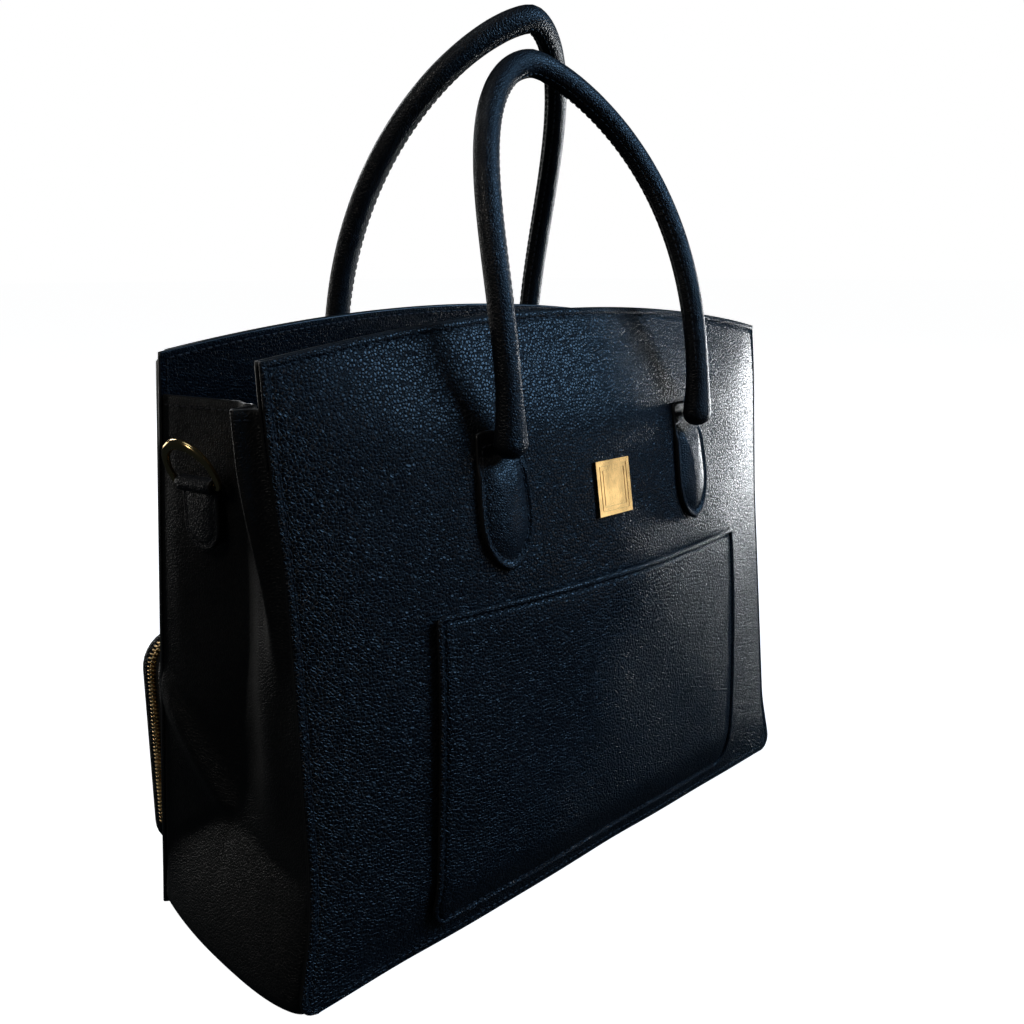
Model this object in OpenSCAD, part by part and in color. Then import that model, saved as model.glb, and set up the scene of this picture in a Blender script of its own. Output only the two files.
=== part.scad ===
// Leather work tote with a zip-round insulated cooler pocket on its back.
// The origin is on the resting face, under the middle of the body. +X is to the
// right of somebody who faces the front, +Y goes to the back, +Z is up.

/* [Body] */
// Width of the front panel at its base
base_w = 418; // [380:1:440]
// Width of the front panel between its top corners
top_w = 404; // [370:1:430]
// Depth of the body at its base
base_d = 142; // [130:1:150]
// Depth of the body at its top corners
top_d = 92; // [84:1:100]
// Height of the top corners
edge_h = 312; // [290:1:330]
// Height of the middle of the curved top edge
mid_h = 330; // [318:1:345]
// How far the middle of the front panel swells out
front_bow = 24; // [10:1:28]

/* [Cooler pocket] */
// Width of the cooler pocket
cool_w = 398; // [360:1:400]
// Height of the underside of the cooler pocket
cool_z0 = 19; // [18:1:24]
// Height of the top of the cooler pocket
cool_z1 = 152; // [140:1:154]
// Radius of the cooler pocket's corners
cool_r = 20; // [14:1:26]
// Thickness of the foam insulation
foam_t = 3; // [2:0.5:4]

/* [Handles] */
// Half the distance between a handle's feet
foot_x = 82; // [70:1:90]
// Height of the joint between a handle and its tabs
foot_z = 266; // [255:1:270]
// Diameter of a rolled handle
roll_d = 13.5; // [11:0.5:14]

/* [Rings and strap] */
// Diameter of the D-ring's wire
ring_wire = 4; // [3:0.5:4]
// Centreline radius of the D-ring's round part
ring_r = 17; // [15:0.5:18]
// Width of the shoulder strap's webbing
strap_w = 38; // [30:1:40]

/* [Hidden] */

// layers of a panel, from the outside in
leather_t = 2;
board_t = 1.6;
lining_t = 1.4;
panel_t = leather_t + board_t + lining_t;
lean = atan((base_d - top_d) / 2 / edge_h);
crown_h = mid_h - edge_h;
swell_peak = 0.6;      // share of the height where the front swells most
columns = 14;          // grid of a curved panel
rows = 12;             // closer together towards the base

// gussets
gusset_top = 291;
gusset_t = 2.2;
gusset_lining_t = 1;
gusset_inset = 1;
fold_z0 = 120;         // the inward fold starts here
fold_z1 = 165;         // and is at its deepest here
fold_deep = 14;
fold_top = 8;

// base
base_leather_t = 2.2;
base_board_t = 3;
base_lining_t = 1;

// pocket and plate
pocket_z0 = 13;
pocket_z1 = 185;
pocket_w0 = 276;
pocket_w1 = 262;
pocket_r = 14;
pocket_t = 2;
pocket_gap = 3;
plate_w = 29;
plate_h = 31;
plate_t = 2;
plate_z = 232;

// handle tabs
tab_w = 34;
tab_top = foot_z - 9.5;
tab_tip = 200;
tab_t = 4;

// cooler layers, measured in from its outline, and its planes from front to back
wall_t = 2;
foil_t = 0.8;
cover_t = 1.2;
cool_y0 = 2.8;
cool_y1 = 76;          // rear edge of the fixed wall
tape_y1 = 81.4;
hinge_y = 84.4;        // the flap turns about this line
flap_tape_y1 = 88;
flap_y1 = 94;
teeth_gap = 0.2;
teeth_w = 2.8;

// ring assembly, on the right-hand gusset
ring_x = 203.4;
ring_y = 12;
ring_z = 250;
ring_turn = -8;
ring_rise = 6;         // the round part's centre above the bar
bar_half = sqrt(ring_r * ring_r - ring_rise * ring_rise);
ring_tab_w = 24.5;
left_ring_angle = 25;  // the left ring stands up, leaning out from the gusset
right_ring_angle = 138; // the right ring hangs, and carries the strap

// ---------- shared shapes ----------

function share(z) = z / edge_h;
function half_w(z) = (base_w + (top_w - base_w) * share(z)) / 2;
function half_d(z) = (base_d + (top_d - base_d) * share(z)) / 2;
function swell(z) = 1 - pow(1 - share(z) / swell_peak, 2);
// The board keeps the front flat-topped: it stands out almost evenly, and turns in near its edges.
function stand_out(x, z) = 8 * smooth(z / 45) * smooth((mid_h - z) / 64) * (1 - pow(x / half_w(z), 6));
function front_y(x, z) = -half_d(z) - front_bow * swell(z) * (1 - pow(x / half_w(z), 2)) - stand_out(x, z);
function crown(x) = edge_h + crown_h * (1 - pow(2 * x / top_w, 2));
function smooth(t) = let (c = min(1, max(0, t))) c * c * (3 - 2 * c);

// A sheet between two grids of points, each of m + 1 rows by n + 1 columns.
module sheet(outer, inner, m, n) {
    count = (m + 1) * (n + 1);
    function at(j, i) = j * (n + 1) + i;
    faces = concat(
        [for (j = [0:m - 1], i = [0:n - 1]) each
            [[at(j, i), at(j + 1, i), at(j + 1, i + 1)], [at(j, i), at(j + 1, i + 1), at(j, i + 1)]]],
        [for (j = [0:m - 1], i = [0:n - 1]) each
            [[count + at(j, i), count + at(j + 1, i + 1), count + at(j + 1, i)],
             [count + at(j, i), count + at(j, i + 1), count + at(j + 1, i + 1)]]],
        [for (i = [0:n - 1]) each
            [[at(0, i), at(0, i + 1), count + at(0, i + 1), count + at(0, i)],
             [at(m, i + 1), at(m, i), count + at(m, i), count + at(m, i + 1)]]],
        [for (j = [0:m - 1]) each
            [[at(j + 1, 0), at(j, 0), count + at(j, 0), count + at(j + 1, 0)],
             [at(j, n), at(j + 1, n), count + at(j + 1, n), count + at(j, n)]]]);
    polyhedron([for (row = outer) each row, for (row = inner) each row], faces, convexity = 6);
}

// A tube of radius r_out, or a rod when r_in is 0, along the points of path.
module swept_tube(path, r_out, r_in = 0, sides = 14) {
    last = len(path) - 1;
    function unit(v) = v / norm(v);
    function tangent(k) = unit(path[min(last, k + 1)] - path[max(0, k - 1)]);
    function ring(k, r) = let (t = tangent(k), n = unit(cross(t, [0, 1, 0])), b = cross(t, n))
        [for (s = [0:sides - 1]) path[k] + r * (cos(360 * s / sides) * n + sin(360 * s / sides) * b)];
    function wall(first, flip) = [for (k = [0:last - 1], s = [0:sides - 1])
        let (e = (s + 1) % sides, q = [first + k * sides + s, first + k * sides + e,
            first + (k + 1) * sides + e, first + (k + 1) * sides + s])
        each (flip ? [[q[2], q[1], q[0]], [q[3], q[2], q[0]]] : [[q[0], q[1], q[2]], [q[0], q[2], q[3]]])];
    count = (last + 1) * sides;
    outer = [for (k = [0:last]) each ring(k, r_out)];
    inner = r_in > 0 ? [for (k = [0:last]) each ring(k, r_in)] : [];
    ends = r_in > 0
        ? [for (s = [0:sides - 1]) let (e = (s + 1) % sides, top = last * sides) each
            [[e, s, count + s, count + e], [top + s, top + e, count + top + e, count + top + s]]]
        : [[for (s = [sides - 1:-1:0]) s], [for (s = [0:sides - 1]) last * sides + s]];
    polyhedron(concat(outer, inner), concat(wall(0, false), r_in > 0 ? wall(count, true) : [], ends),
        convexity = 8);
}

// Puts its children on the front panel's outer face, turned to lie along it.
module on_front(x, z, clear = 0.3) {
    turn = atan((front_y(x + 1, z) - front_y(x - 1, z)) / 2);
    tilt = -atan((front_y(x, z + 1) - front_y(x, z - 1)) / 2);
    translate([x, front_y(x, z) - clear, z]) rotate([tilt, 0, turn]) children();
}

// Puts its children on the back panel's outer face.
module on_back(x, z, clear = 0) {
    translate([x, half_d(z) + clear, z]) rotate([lean, 0, 0]) children();
}

module right_side() { children(); }
module left_side() { mirror([1, 0, 0]) children(); }

// ---------- front and back panels ----------

module front_sheet(depth, thick) {
    function grid(d) = [for (j = [0:rows]) [for (i = [0:columns])
        let (u = 2 * i / columns - 1, z = crown(u * top_w / 2) * pow(j / rows, 1.3), x = u * half_w(z))
        [x, front_y(x, z) + d, z]]];
    sheet(grid(depth), grid(depth + thick), rows, columns);
}
module front_panel() { color([0.02, 0.02, 0.03]) front_sheet(0, leather_t); }
module front_stiffener() { color([0.6, 0.55, 0.45]) front_sheet(leather_t, board_t); }
module front_lining() { color([0.05, 0.05, 0.06]) front_sheet(leather_t + board_t, lining_t); }

function back_outline() = let (up = 1 / cos(lean), foot = 0.45) concat(
    [[-half_w(0), foot], [half_w(0), foot]],
    [for (i = [0:columns]) let (x = top_w * (0.5 - i / columns)) [x, crown(x) * up]]);

function cooler_outline(inset) = let (r = cool_r - inset, x = cool_w / 2 - cool_r,
    z0 = cool_z0 + cool_r, z1 = cool_z1 - cool_r)
    [for (c = [[x, z0, -90], [x, z1, 0], [-x, z1, 90], [-x, z0, 180]], k = [0:8])
        [c[0] + r * cos(c[2] + k * 11.25), c[1] + r * sin(c[2] + k * 11.25)]];

// A prism along Y of a shape drawn in X and Z.
module prism(y0, y1) { translate([0, y1, 0]) rotate([90, 0, 0]) linear_extrude(y1 - y0) children(); }

module back_sheet(depth, thick) {
    difference() {
        translate([0, base_d / 2, 0]) rotate([lean, 0, 0])
            prism(-depth - thick, -depth) polygon(back_outline());
        prism(0, base_d) polygon(cooler_outline(0));
    }
}
module back_panel() { color([0.02, 0.02, 0.03]) back_sheet(0, leather_t); }
module back_stiffener() { color([0.6, 0.55, 0.45]) back_sheet(leather_t, board_t); }
module back_lining() { color([0.05, 0.05, 0.06]) back_sheet(leather_t + board_t, lining_t); }

// ---------- gussets ----------

function fold_depth(z) = z < fold_z1
    ? fold_deep * smooth((z - fold_z0) / (fold_z1 - fold_z0))
    : fold_deep + (fold_top - fold_deep) * smooth((z - fold_z1) / (gusset_top - fold_z1));
function fold_place(z) = 0.36 - 0.03 * smooth((z - fold_z0) / (gusset_top - fold_z0));
function fold(s, z) = let (p = fold_place(z))
    fold_depth(z) * pow(s < p ? s / p : (1 - s) / (1 - p), 1.2);
function gusset_x(s, z) = half_w(z) - gusset_inset - fold(s, z);

module gusset_sheet(depth, thick) {
    m = 14;
    n = 12;
    function grid(d) = [for (j = [0:m]) [for (i = [0:n])
        let (z = gusset_top * j / m, s = i / n, reach = half_d(z) - panel_t - 0.1)
        [gusset_x(s, z) - d, -reach + 2 * reach * s, z]]];
    sheet(grid(depth), grid(depth + thick), m, n);
}
module gusset() { color([0.02, 0.02, 0.02]) gusset_sheet(0, gusset_t); }
module gusset_lining() { color([0.05, 0.05, 0.06]) gusset_sheet(gusset_t, gusset_lining_t); }

// ---------- base ----------

module base_layer(z, thick) {
    reach_x = half_w(0) - gusset_inset - gusset_t - gusset_lining_t - 0.6;
    reach_y = half_d(0) - panel_t - 0.7;
    translate([-reach_x, -reach_y, z]) cube([2 * reach_x, 2 * reach_y, thick]);
}
module base_panel() { color([0.02, 0.02, 0.02]) base_layer(0, base_leather_t); }
module base_board() { color([0.5, 0.45, 0.35]) base_layer(base_leather_t, base_board_t); }
module base_lining() { color([0.05, 0.05, 0.06]) base_layer(base_leather_t + base_board_t, base_lining_t); }

// ---------- front pocket and plate ----------

module front_pocket() {
    levels = [0, 0.02, 0.05, 0.09, 0.16, 0.26, 0.38, 0.5, 0.62, 0.75, 0.88, 1];
    m = len(levels) - 1;
    n = 12;
    function corner(rise) = rise < pocket_r
        ? pocket_r - sqrt(pocket_r * pocket_r - pow(pocket_r - rise, 2)) : 0;
    function grid(d) = [for (v = levels) [for (i = [0:n])
        let (u = 2 * i / n - 1, rise = v * (pocket_z1 - pocket_z0), z = pocket_z0 + rise,
            x = u * ((pocket_w0 + (pocket_w1 - pocket_w0) * v) / 2 - corner(rise)),
            lift = 0.5 + pocket_gap * (1 - u * u) * v)
        [x, front_y(x, z) - lift - d, z]]];
    color([0.02, 0.02, 0.03]) sheet(grid(pocket_t), grid(0), m, n);
}

module name_plate() {
    groove = 0.6;
    color([0.83, 0.64, 0.30]) on_front(0, plate_z) difference() {
        translate([-plate_w / 2, -plate_t, -plate_h / 2]) cube([plate_w, plate_t, plate_h]);
        for (inset = [2.6, 5])
            translate([0, -plate_t + 0.35, 0]) rotate([90, 0, 0]) linear_extrude(1) difference() {
                square([plate_w - 2 * inset, plate_h - 2 * inset], center = true);
                square([plate_w - 2 * inset - 2 * groove, plate_h - 2 * inset - 2 * groove], center = true);
            }
    }
}

// ---------- handles and their tabs ----------

// A leaf with its middle at the origin, wide above and pointed below.
function leaf(w, h) = let (half = w / 2, shoulder = 0.36, steps = 9) concat(
    [[-half * 0.62, h / 2], [half * 0.62, h / 2], [half * 0.9, h * 0.36]],
    [for (k = [0:steps]) let (t = k / steps)
        [half * pow(cos(90 * t), 0.62), h * (shoulder * 0.2 - (0.5 + shoulder * 0.2) * pow(t, 1.1))]],
    [for (k = [steps - 1:-1:0]) let (t = k / steps)
        [-half * pow(cos(90 * t), 0.62), h * (shoulder * 0.2 - (0.5 + shoulder * 0.2) * pow(t, 1.1))]],
    [[-half * 0.9, h * 0.36]]);
module tab_plate() {
    rotate([90, 0, 0]) linear_extrude(tab_t) polygon(leaf(tab_w, tab_top - tab_tip));
}
module front_tab(side) {
    color([0.02, 0.02, 0.03]) on_front(side * foot_x, (tab_top + tab_tip) / 2) tab_plate();
}
module back_tab(side) {
    color([0.02, 0.02, 0.03]) on_back(side * foot_x, (tab_top + tab_tip) / 2)
        rotate([0, 0, 180]) tab_plate();
}

// A handle's arch: half-width foot_x, rise, how far it leans sideways, how far it leans in
// evenly, and how far it bends in towards its top. squareness shapes its sides and its crown.
front_arch = [195, -10, -8, 60, 1.25, 0.55];
back_arch = [219, -5, -10, 95, 1.30, 0.58];
front_foot_y = front_y(foot_x, foot_z) - 9.2;
back_foot_y = half_d(foot_z) + 9.2;
function arch(form, foot_y, inward) = let (steps = 40) [for (k = [0:steps])
    let (a = 180 * k / steps, u = pow(sin(a), form[5]))
    [-foot_x * sign(cos(a)) * pow(abs(cos(a)), form[4]) + form[1] * u,
     foot_y + inward * (form[2] * u + form[3] * u * u),
     foot_z + form[0] * u]];
core_r = roll_d / 2 - 1.8;
module front_handle() {
    color([0.02, 0.02, 0.03]) swept_tube(arch(front_arch, front_foot_y, 1), roll_d / 2, core_r);
}
module front_handle_core() {
    color([0.8, 0.78, 0.7]) swept_tube(arch(front_arch, front_foot_y, 1), core_r);
}
module back_handle() {
    color([0.02, 0.02, 0.03]) swept_tube(arch(back_arch, back_foot_y, -1), roll_d / 2, core_r);
}
module back_handle_core() {
    color([0.8, 0.78, 0.7]) swept_tube(arch(back_arch, back_foot_y, -1), core_r);
}

// ---------- D-rings and their tabs ----------

module at_ring() { translate([ring_x, ring_y, ring_z]) rotate([0, 0, ring_turn]) children(); }

module bar_y(length, r) { rotate([90, 0, 0]) cylinder(h = length, r = r, center = true, $fn = 48); }

module ring_tab() {
    loop_r = ring_wire / 2 + 2.1;
    drop = 33;
    color([0.02, 0.02, 0.02]) at_ring() difference() {
        union() {
            bar_y(ring_tab_w, loop_r);
            translate([-loop_r, 0, 0]) rotate([90, 0, 90]) linear_extrude(3.7) union() {
                translate([-ring_tab_w / 2, ring_tab_w / 2 - drop])
                    square([ring_tab_w, drop - ring_tab_w / 2]);
                translate([0, ring_tab_w / 2 - drop]) circle(d = ring_tab_w, $fn = 64);
            }
        }
        bar_y(ring_tab_w + 2, ring_wire / 2 + 0.1);
    }
}

module d_ring(angle) {
    open = asin(ring_rise / ring_r);
    color([0.83, 0.64, 0.30]) at_ring() rotate([0, angle, 0]) {
        bar_y(2 * bar_half, ring_wire / 2);
        for (end = [-1, 1]) translate([0, end * bar_half, 0]) sphere(d = ring_wire + 0.6, $fn = 32);
        translate([0, 0, ring_rise]) rotate([90, 0, 90]) rotate([0, 0, -open])
            rotate_extrude(angle = 180 + 2 * open, $fn = 96) translate([ring_r, 0])
                circle(d = ring_wire, $fn = 32);
    }
}

// ---------- trolley band ----------

module trolley_band() {
    band_h = 38;
    band_z = 155.5;
    flat_x = 112;      // the band is stitched down beyond this
    end_x = 150;
    rise = 10;
    thick = 1.8;
    function lift(x) = abs(x) > flat_x ? 0 : rise * smooth((flat_x - abs(x)) / 60);
    xs = [for (i = [0:40]) -end_x + 2 * end_x * i / 40];
    profile = concat([for (x = xs) [x, lift(x)]], [for (i = [40:-1:0]) [xs[i], lift(xs[i]) + thick]]);
    color([0.03, 0.03, 0.04]) on_back(0, band_z) linear_extrude(band_h) polygon(profile);
}

// ---------- cooler pocket ----------

// The band between two insets of the outline, open below when arch_only is true.
module outline_band(outer, inner, arch_only = false) {
    difference() {
        polygon(cooler_outline(outer));
        polygon(cooler_outline(inner));
        if (arch_only) translate([-cool_w, cool_z0 - 5]) square([2 * cool_w, cool_r + 5]);
    }
}
foam_in = wall_t + foam_t;
foil_in = foam_in + foil_t;

module cooler_wall() { color([0.02, 0.02, 0.03]) prism(46, cool_y1) outline_band(0, wall_t); }
module cooler_cover() {
    color([0.05, 0.05, 0.06]) {
        prism(cool_y0 + cover_t, 46) outline_band(wall_t - cover_t, wall_t);
        prism(cool_y0, cool_y0 + cover_t) polygon(cooler_outline(wall_t - cover_t));
    }
}
module cooler_insulation() {
    floor_y = cool_y0 + cover_t;
    color([0.85, 0.85, 0.85]) {
        prism(floor_y + foam_t, cool_y1) outline_band(wall_t, foam_in);
        prism(floor_y, floor_y + foam_t) polygon(cooler_outline(wall_t));
    }
}
module cooler_foil() {
    floor_y = cool_y0 + cover_t + foam_t;
    color([0.75, 0.77, 0.80]) {
        prism(floor_y + foil_t, cool_y1) outline_band(foam_in, foil_in);
        prism(floor_y, floor_y + foil_t) polygon(cooler_outline(foam_in));
    }
}

// ---------- zip and flap ----------

module body_zip_tape() { color([0.03, 0.03, 0.03]) prism(cool_y1, tape_y1) outline_band(0.6, 1.6, true); }
module body_zip_teeth() {
    color([0.83, 0.64, 0.30]) prism(tape_y1, hinge_y - teeth_gap) outline_band(-0.4, 2.4, true);
}
module flap_zip_tape() {
    color([0.03, 0.03, 0.03]) prism(hinge_y + teeth_gap + teeth_w, flap_tape_y1 + 1)
        outline_band(0.6, 1.6, true);
}
module flap_zip_teeth() {
    color([0.83, 0.64, 0.30]) prism(hinge_y + teeth_gap, hinge_y + teeth_gap + teeth_w)
        outline_band(-0.4, 2.4, true);
}
module flap_hinge() {
    thick = 1.2;
    y0 = half_d(cool_z0 - thick) + 0.4;
    color([0.03, 0.03, 0.03]) translate([-170, y0, cool_z0 - thick]) cube([340, hinge_y - 0.2 - y0, thick]);
}
module flap_panel() { color([0.02, 0.02, 0.03]) prism(flap_y1 - leather_t, flap_y1) polygon(cooler_outline(0)); }
module flap_border() {
    color([0.02, 0.02, 0.03]) prism(flap_tape_y1 + 1, flap_y1 - leather_t) outline_band(0, wall_t);
}
module flap_foam() {
    color([0.85, 0.85, 0.85]) prism(flap_tape_y1 + 1, flap_y1 - leather_t) polygon(cooler_outline(wall_t));
}
module flap_lining() {
    color([0.27, 0.24, 0.23]) prism(flap_tape_y1, flap_tape_y1 + 1) polygon(cooler_outline(wall_t + 0.2));
}

slider_x = cool_w / 2 + 0.8;
slider_z = cool_z0 + cool_r + 6;
module at_slider() { translate([slider_x, hinge_y, slider_z]) children(); }
module zip_slider() {
    color([0.83, 0.64, 0.30]) at_slider() {
        difference() {
            union() {
                translate([0, -4.5, -6]) cube([1.8, 9, 12]);
                translate([1.8, -1.6, -4.5]) cube([3.6, 3.2, 9]);
            }
            translate([3.2, 0, 0]) bar_y(8, 1.3);
        }
    }
}
module zip_pull() {
    color([0.83, 0.64, 0.30]) at_slider() {
        translate([3.2, 0, 0]) bar_y(8.4, 1.1);
        for (side = [-1, 1]) translate([2.2, side * 3.2 - 1, -12]) cube([2, 2, 12]);
        translate([2.2, -4.2, -22]) cube([2, 8.4, 10]);
        translate([3.2, 0, -24]) sphere(r = 3, $fn = 40);
    }
}

// ---------- shoulder strap, folded and hung from the right ring ----------

hook_rise = 30;        // top of the hook's centreline above its collar's foot
hook_r = 6;
hook_wire = 4.2;
ring_low = [sin(right_ring_angle), cos(right_ring_angle)] * (ring_rise + ring_r);
// foot of the upper hook's collar, from the ring's bar
hook_at = [ring_low[0], ring_low[1] - hook_rise + hook_wire / 2 + ring_wire / 2 + 0.25];
eye_drop = 16;         // centre of the eye's lower bar below the collar
hank_len = 106;
hank_t = 16;

module at_hook() { at_ring() translate([hook_at[0], 0, hook_at[1]]) children(); }
module at_lower_hook() { at_hook() translate([0, 0, -eye_drop - 156]) mirror([0, 0, 1]) children(); }

module hook_frame() {
    color([0.83, 0.64, 0.30]) {
        difference() {
            cylinder(h = 7, r = 4.6, $fn = 48);
            translate([0, 0, -1]) cylinder(h = 5, r = 2.1, $fn = 48);
        }
        translate([-hook_r - 2, -2.6, 6.5]) cube([hook_r + 6.5, 5.2, 3]);
        translate([-hook_r, 0, 9]) cylinder(h = hook_rise - hook_r - 9, d = hook_wire, $fn = 32);
        translate([0, 0, hook_rise - hook_r]) rotate([90, 0, 0]) rotate_extrude(angle = 180, $fn = 64)
            translate([hook_r, 0]) circle(d = hook_wire, $fn = 32);
    }
}
module hook_gate() {
    color([0.83, 0.64, 0.30]) {
        translate([hook_r + 0.4, 0, 8]) bar_y(5, 1.5);
        translate([hook_r + 0.4, 0, 8]) cylinder(h = hook_rise - hook_r - 8.4, r = 1.4, $fn = 32);
    }
}
module hook_eye() {
    wire = 3.4;
    half = 14.5;
    color([0.83, 0.64, 0.30]) {
        translate([0, 0, -eye_drop + 10]) cylinder(h = eye_drop - 10 + 3, r = 2, $fn = 48);
        for (z = [-eye_drop, -eye_drop + 10]) translate([0, 0, z]) bar_y(2 * half, wire / 2);
        for (y = [-half, half]) {
            translate([0, y, -eye_drop]) cylinder(h = 10, d = wire, $fn = 32);
            for (z = [-eye_drop, -eye_drop + 10]) translate([0, y, z]) sphere(d = wire, $fn = 32);
        }
    }
}
module strap_tab(length) {
    loop_r = 3.9;
    color([0.02, 0.02, 0.02]) difference() {
        union() {
            translate([0, 0, -eye_drop]) bar_y(25, loop_r);
            translate([-2, -12.5, -eye_drop - length]) cube([4, 25, length]);
        }
        translate([0, 0, -eye_drop]) bar_y(30, 1.8);
    }
}
module hank_block(extra) {
    rotate([90, 0, 0]) linear_extrude(strap_w + 2 * extra, center = true) {
        square([hank_t + 2 * extra, hank_len - hank_t], center = true);
        if (extra == 0) for (z = [-1, 1]) translate([0, z * (hank_len - hank_t) / 2])
            circle(d = hank_t, $fn = 64);
    }
}
module at_hank() { at_hook() translate([0, 0, -eye_drop - 25 - hank_len / 2]) children(); }
module strap_hank() { color([0.03, 0.03, 0.04]) at_hank() hank_block(0); }
module strap_tie() {
    color([0.03, 0.03, 0.04]) at_hank() difference() {
        cube([hank_t + 4, strap_w + 4, 14], center = true);
        cube([hank_t, strap_w, 20], center = true);
    }
}

front_panel();
front_stiffener();
front_lining();
back_panel();
back_stiffener();
back_lining();
left_side() gusset();  // left_gusset
right_side() gusset();  // right_gusset
left_side() gusset_lining();  // left_gusset_lining
right_side() gusset_lining();  // right_gusset_lining
base_panel();
base_board();
base_lining();
front_pocket();
name_plate();
front_tab(-1);  // front_left_tab
front_tab(1);  // front_right_tab
back_tab(-1);  // back_left_tab
back_tab(1);  // back_right_tab
front_handle();
front_handle_core();
back_handle();
back_handle_core();
left_side() ring_tab();  // left_ring_tab
right_side() ring_tab();  // right_ring_tab
left_side() d_ring(left_ring_angle);  // left_d_ring
right_side() d_ring(right_ring_angle);  // right_d_ring
trolley_band();
cooler_wall();
cooler_insulation();
cooler_foil();
cooler_cover();
body_zip_tape();
body_zip_teeth();
flap_zip_tape();
flap_zip_teeth();
flap_hinge();
flap_panel();
flap_border();
flap_foam();
flap_lining();
zip_slider();
zip_pull();
at_hook() hook_frame();  // upper_hook
at_hook() hook_gate();  // upper_hook_gate
at_hook() hook_eye();  // upper_hook_eye
at_hook() strap_tab(25);  // upper_strap_tab
strap_hank();
strap_tie();
at_lower_hook() strap_tab(9);  // lower_strap_tab
at_lower_hook() hook_eye();  // lower_hook_eye
at_lower_hook() hook_frame();  // lower_hook
at_lower_hook() hook_gate();  // lower_hook_gate
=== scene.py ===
"""Looks of a leather work tote with a zip-round insulated cooler pocket on its back."""
import math

import bpy
import numpy as np
from mathutils import Matrix, Vector, noise


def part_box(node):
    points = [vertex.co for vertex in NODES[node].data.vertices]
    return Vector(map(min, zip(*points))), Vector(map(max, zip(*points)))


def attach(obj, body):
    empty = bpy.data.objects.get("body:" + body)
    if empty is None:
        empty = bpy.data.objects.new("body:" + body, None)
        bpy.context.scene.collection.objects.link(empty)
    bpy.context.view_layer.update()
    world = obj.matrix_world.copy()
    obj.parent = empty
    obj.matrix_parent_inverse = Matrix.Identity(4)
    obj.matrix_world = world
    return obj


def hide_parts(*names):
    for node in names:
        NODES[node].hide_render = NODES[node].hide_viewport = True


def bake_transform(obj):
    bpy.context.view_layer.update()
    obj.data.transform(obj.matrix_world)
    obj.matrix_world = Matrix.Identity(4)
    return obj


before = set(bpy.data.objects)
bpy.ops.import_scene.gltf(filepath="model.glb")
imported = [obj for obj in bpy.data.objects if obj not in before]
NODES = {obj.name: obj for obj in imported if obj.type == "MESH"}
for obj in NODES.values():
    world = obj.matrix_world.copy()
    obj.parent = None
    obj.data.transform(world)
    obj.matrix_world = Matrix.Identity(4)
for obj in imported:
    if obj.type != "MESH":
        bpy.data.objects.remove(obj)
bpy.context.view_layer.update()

MM = 0.001                      # the shapes below are worked out in millimetres
FLOOR_HALF = 30                 # metres
rng = np.random.default_rng(7)


def box_mm(node):
    low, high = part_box(node)
    return np.array(low) / MM, np.array(high) / MM


# ---- camera, lights and floor

def aim(eye, yaw, pitch, roll):
    """Matrix of a camera at eye (mm), turned yaw right of +Y and pitched down, in degrees."""
    turn = Matrix.Rotation(math.radians(-yaw), 4, "Z") @ Matrix.Rotation(math.radians(90 - pitch), 4, "X")
    return Matrix.Translation(Vector(eye) * MM) @ turn @ Matrix.Rotation(math.radians(roll), 4, "Z")


def add_object(name, data):
    made = bpy.data.objects.new(name, data)
    bpy.context.scene.collection.objects.link(made)
    return made


def add_camera():
    camera = add_object("camera", bpy.data.cameras.new("camera"))
    camera.data.sensor_width = 36
    camera.data.lens = 38.1
    camera.data.clip_end = 50
    camera.matrix_world = aim((-471.4, -457.3, 352.1), 46.2, 12.67, -0.2)
    bpy.context.scene.camera = camera


def add_area_light(name, place, target, size, watts, tint=(1, 1, 1)):
    data = bpy.data.lights.new(name, "AREA")
    data.shape = "RECTANGLE"
    data.size, data.size_y = size
    data.energy = watts
    data.color = tint
    light = add_object(name, data)
    light.location = place
    light.rotation_euler = (Vector(target) - Vector(place)).to_track_quat("-Z", "Y").to_euler()


def add_world():
    """White studio paper to the camera, a dim cool light on the bag."""
    world = bpy.data.worlds.new("studio")
    bpy.context.scene.world = world
    world.use_nodes = True
    nodes, links = world.node_tree.nodes, world.node_tree.links
    shown, lighting = nodes.new("ShaderNodeBackground"), nodes["Background"]
    for background, colour, strength in ((shown, (1, 1, 1, 1), 1.0), (lighting, (0.55, 0.78, 1, 1), 0.012)):
        background.inputs["Color"].default_value = colour
        background.inputs["Strength"].default_value = strength
    path, mix = nodes.new("ShaderNodeLightPath"), nodes.new("ShaderNodeMixShader")
    links.new(path.outputs["Is Camera Ray"], mix.inputs[0])
    links.new(lighting.outputs[0], mix.inputs[1])
    links.new(shown.outputs[0], mix.inputs[2])
    links.new(mix.outputs[0], nodes["World Output"].inputs[0])
    bpy.context.scene.view_settings.view_transform = "Standard"


def add_floor():
    """A white floor that the camera sees, but that throws no light on the bag."""
    mesh = bpy.data.meshes.new("floor")
    corners = [(x * FLOOR_HALF, y * FLOOR_HALF, 0) for x, y in ((-1, -1), (1, -1), (1, 1), (-1, 1))]
    mesh.from_pydata(corners, [], [(0, 1, 2, 3)])
    floor = add_object("floor", mesh)
    floor.location.z = -0.0005
    paper = Shader("floor_paper", (0.8, 0.8, 0.8), 0.9, Emission_Color=(1, 1, 1, 1), Emission_Strength=0.985)
    mesh.materials.append(paper.material)
    floor.visible_diffuse = False
    floor.visible_glossy = False


# ---- materials

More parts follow.
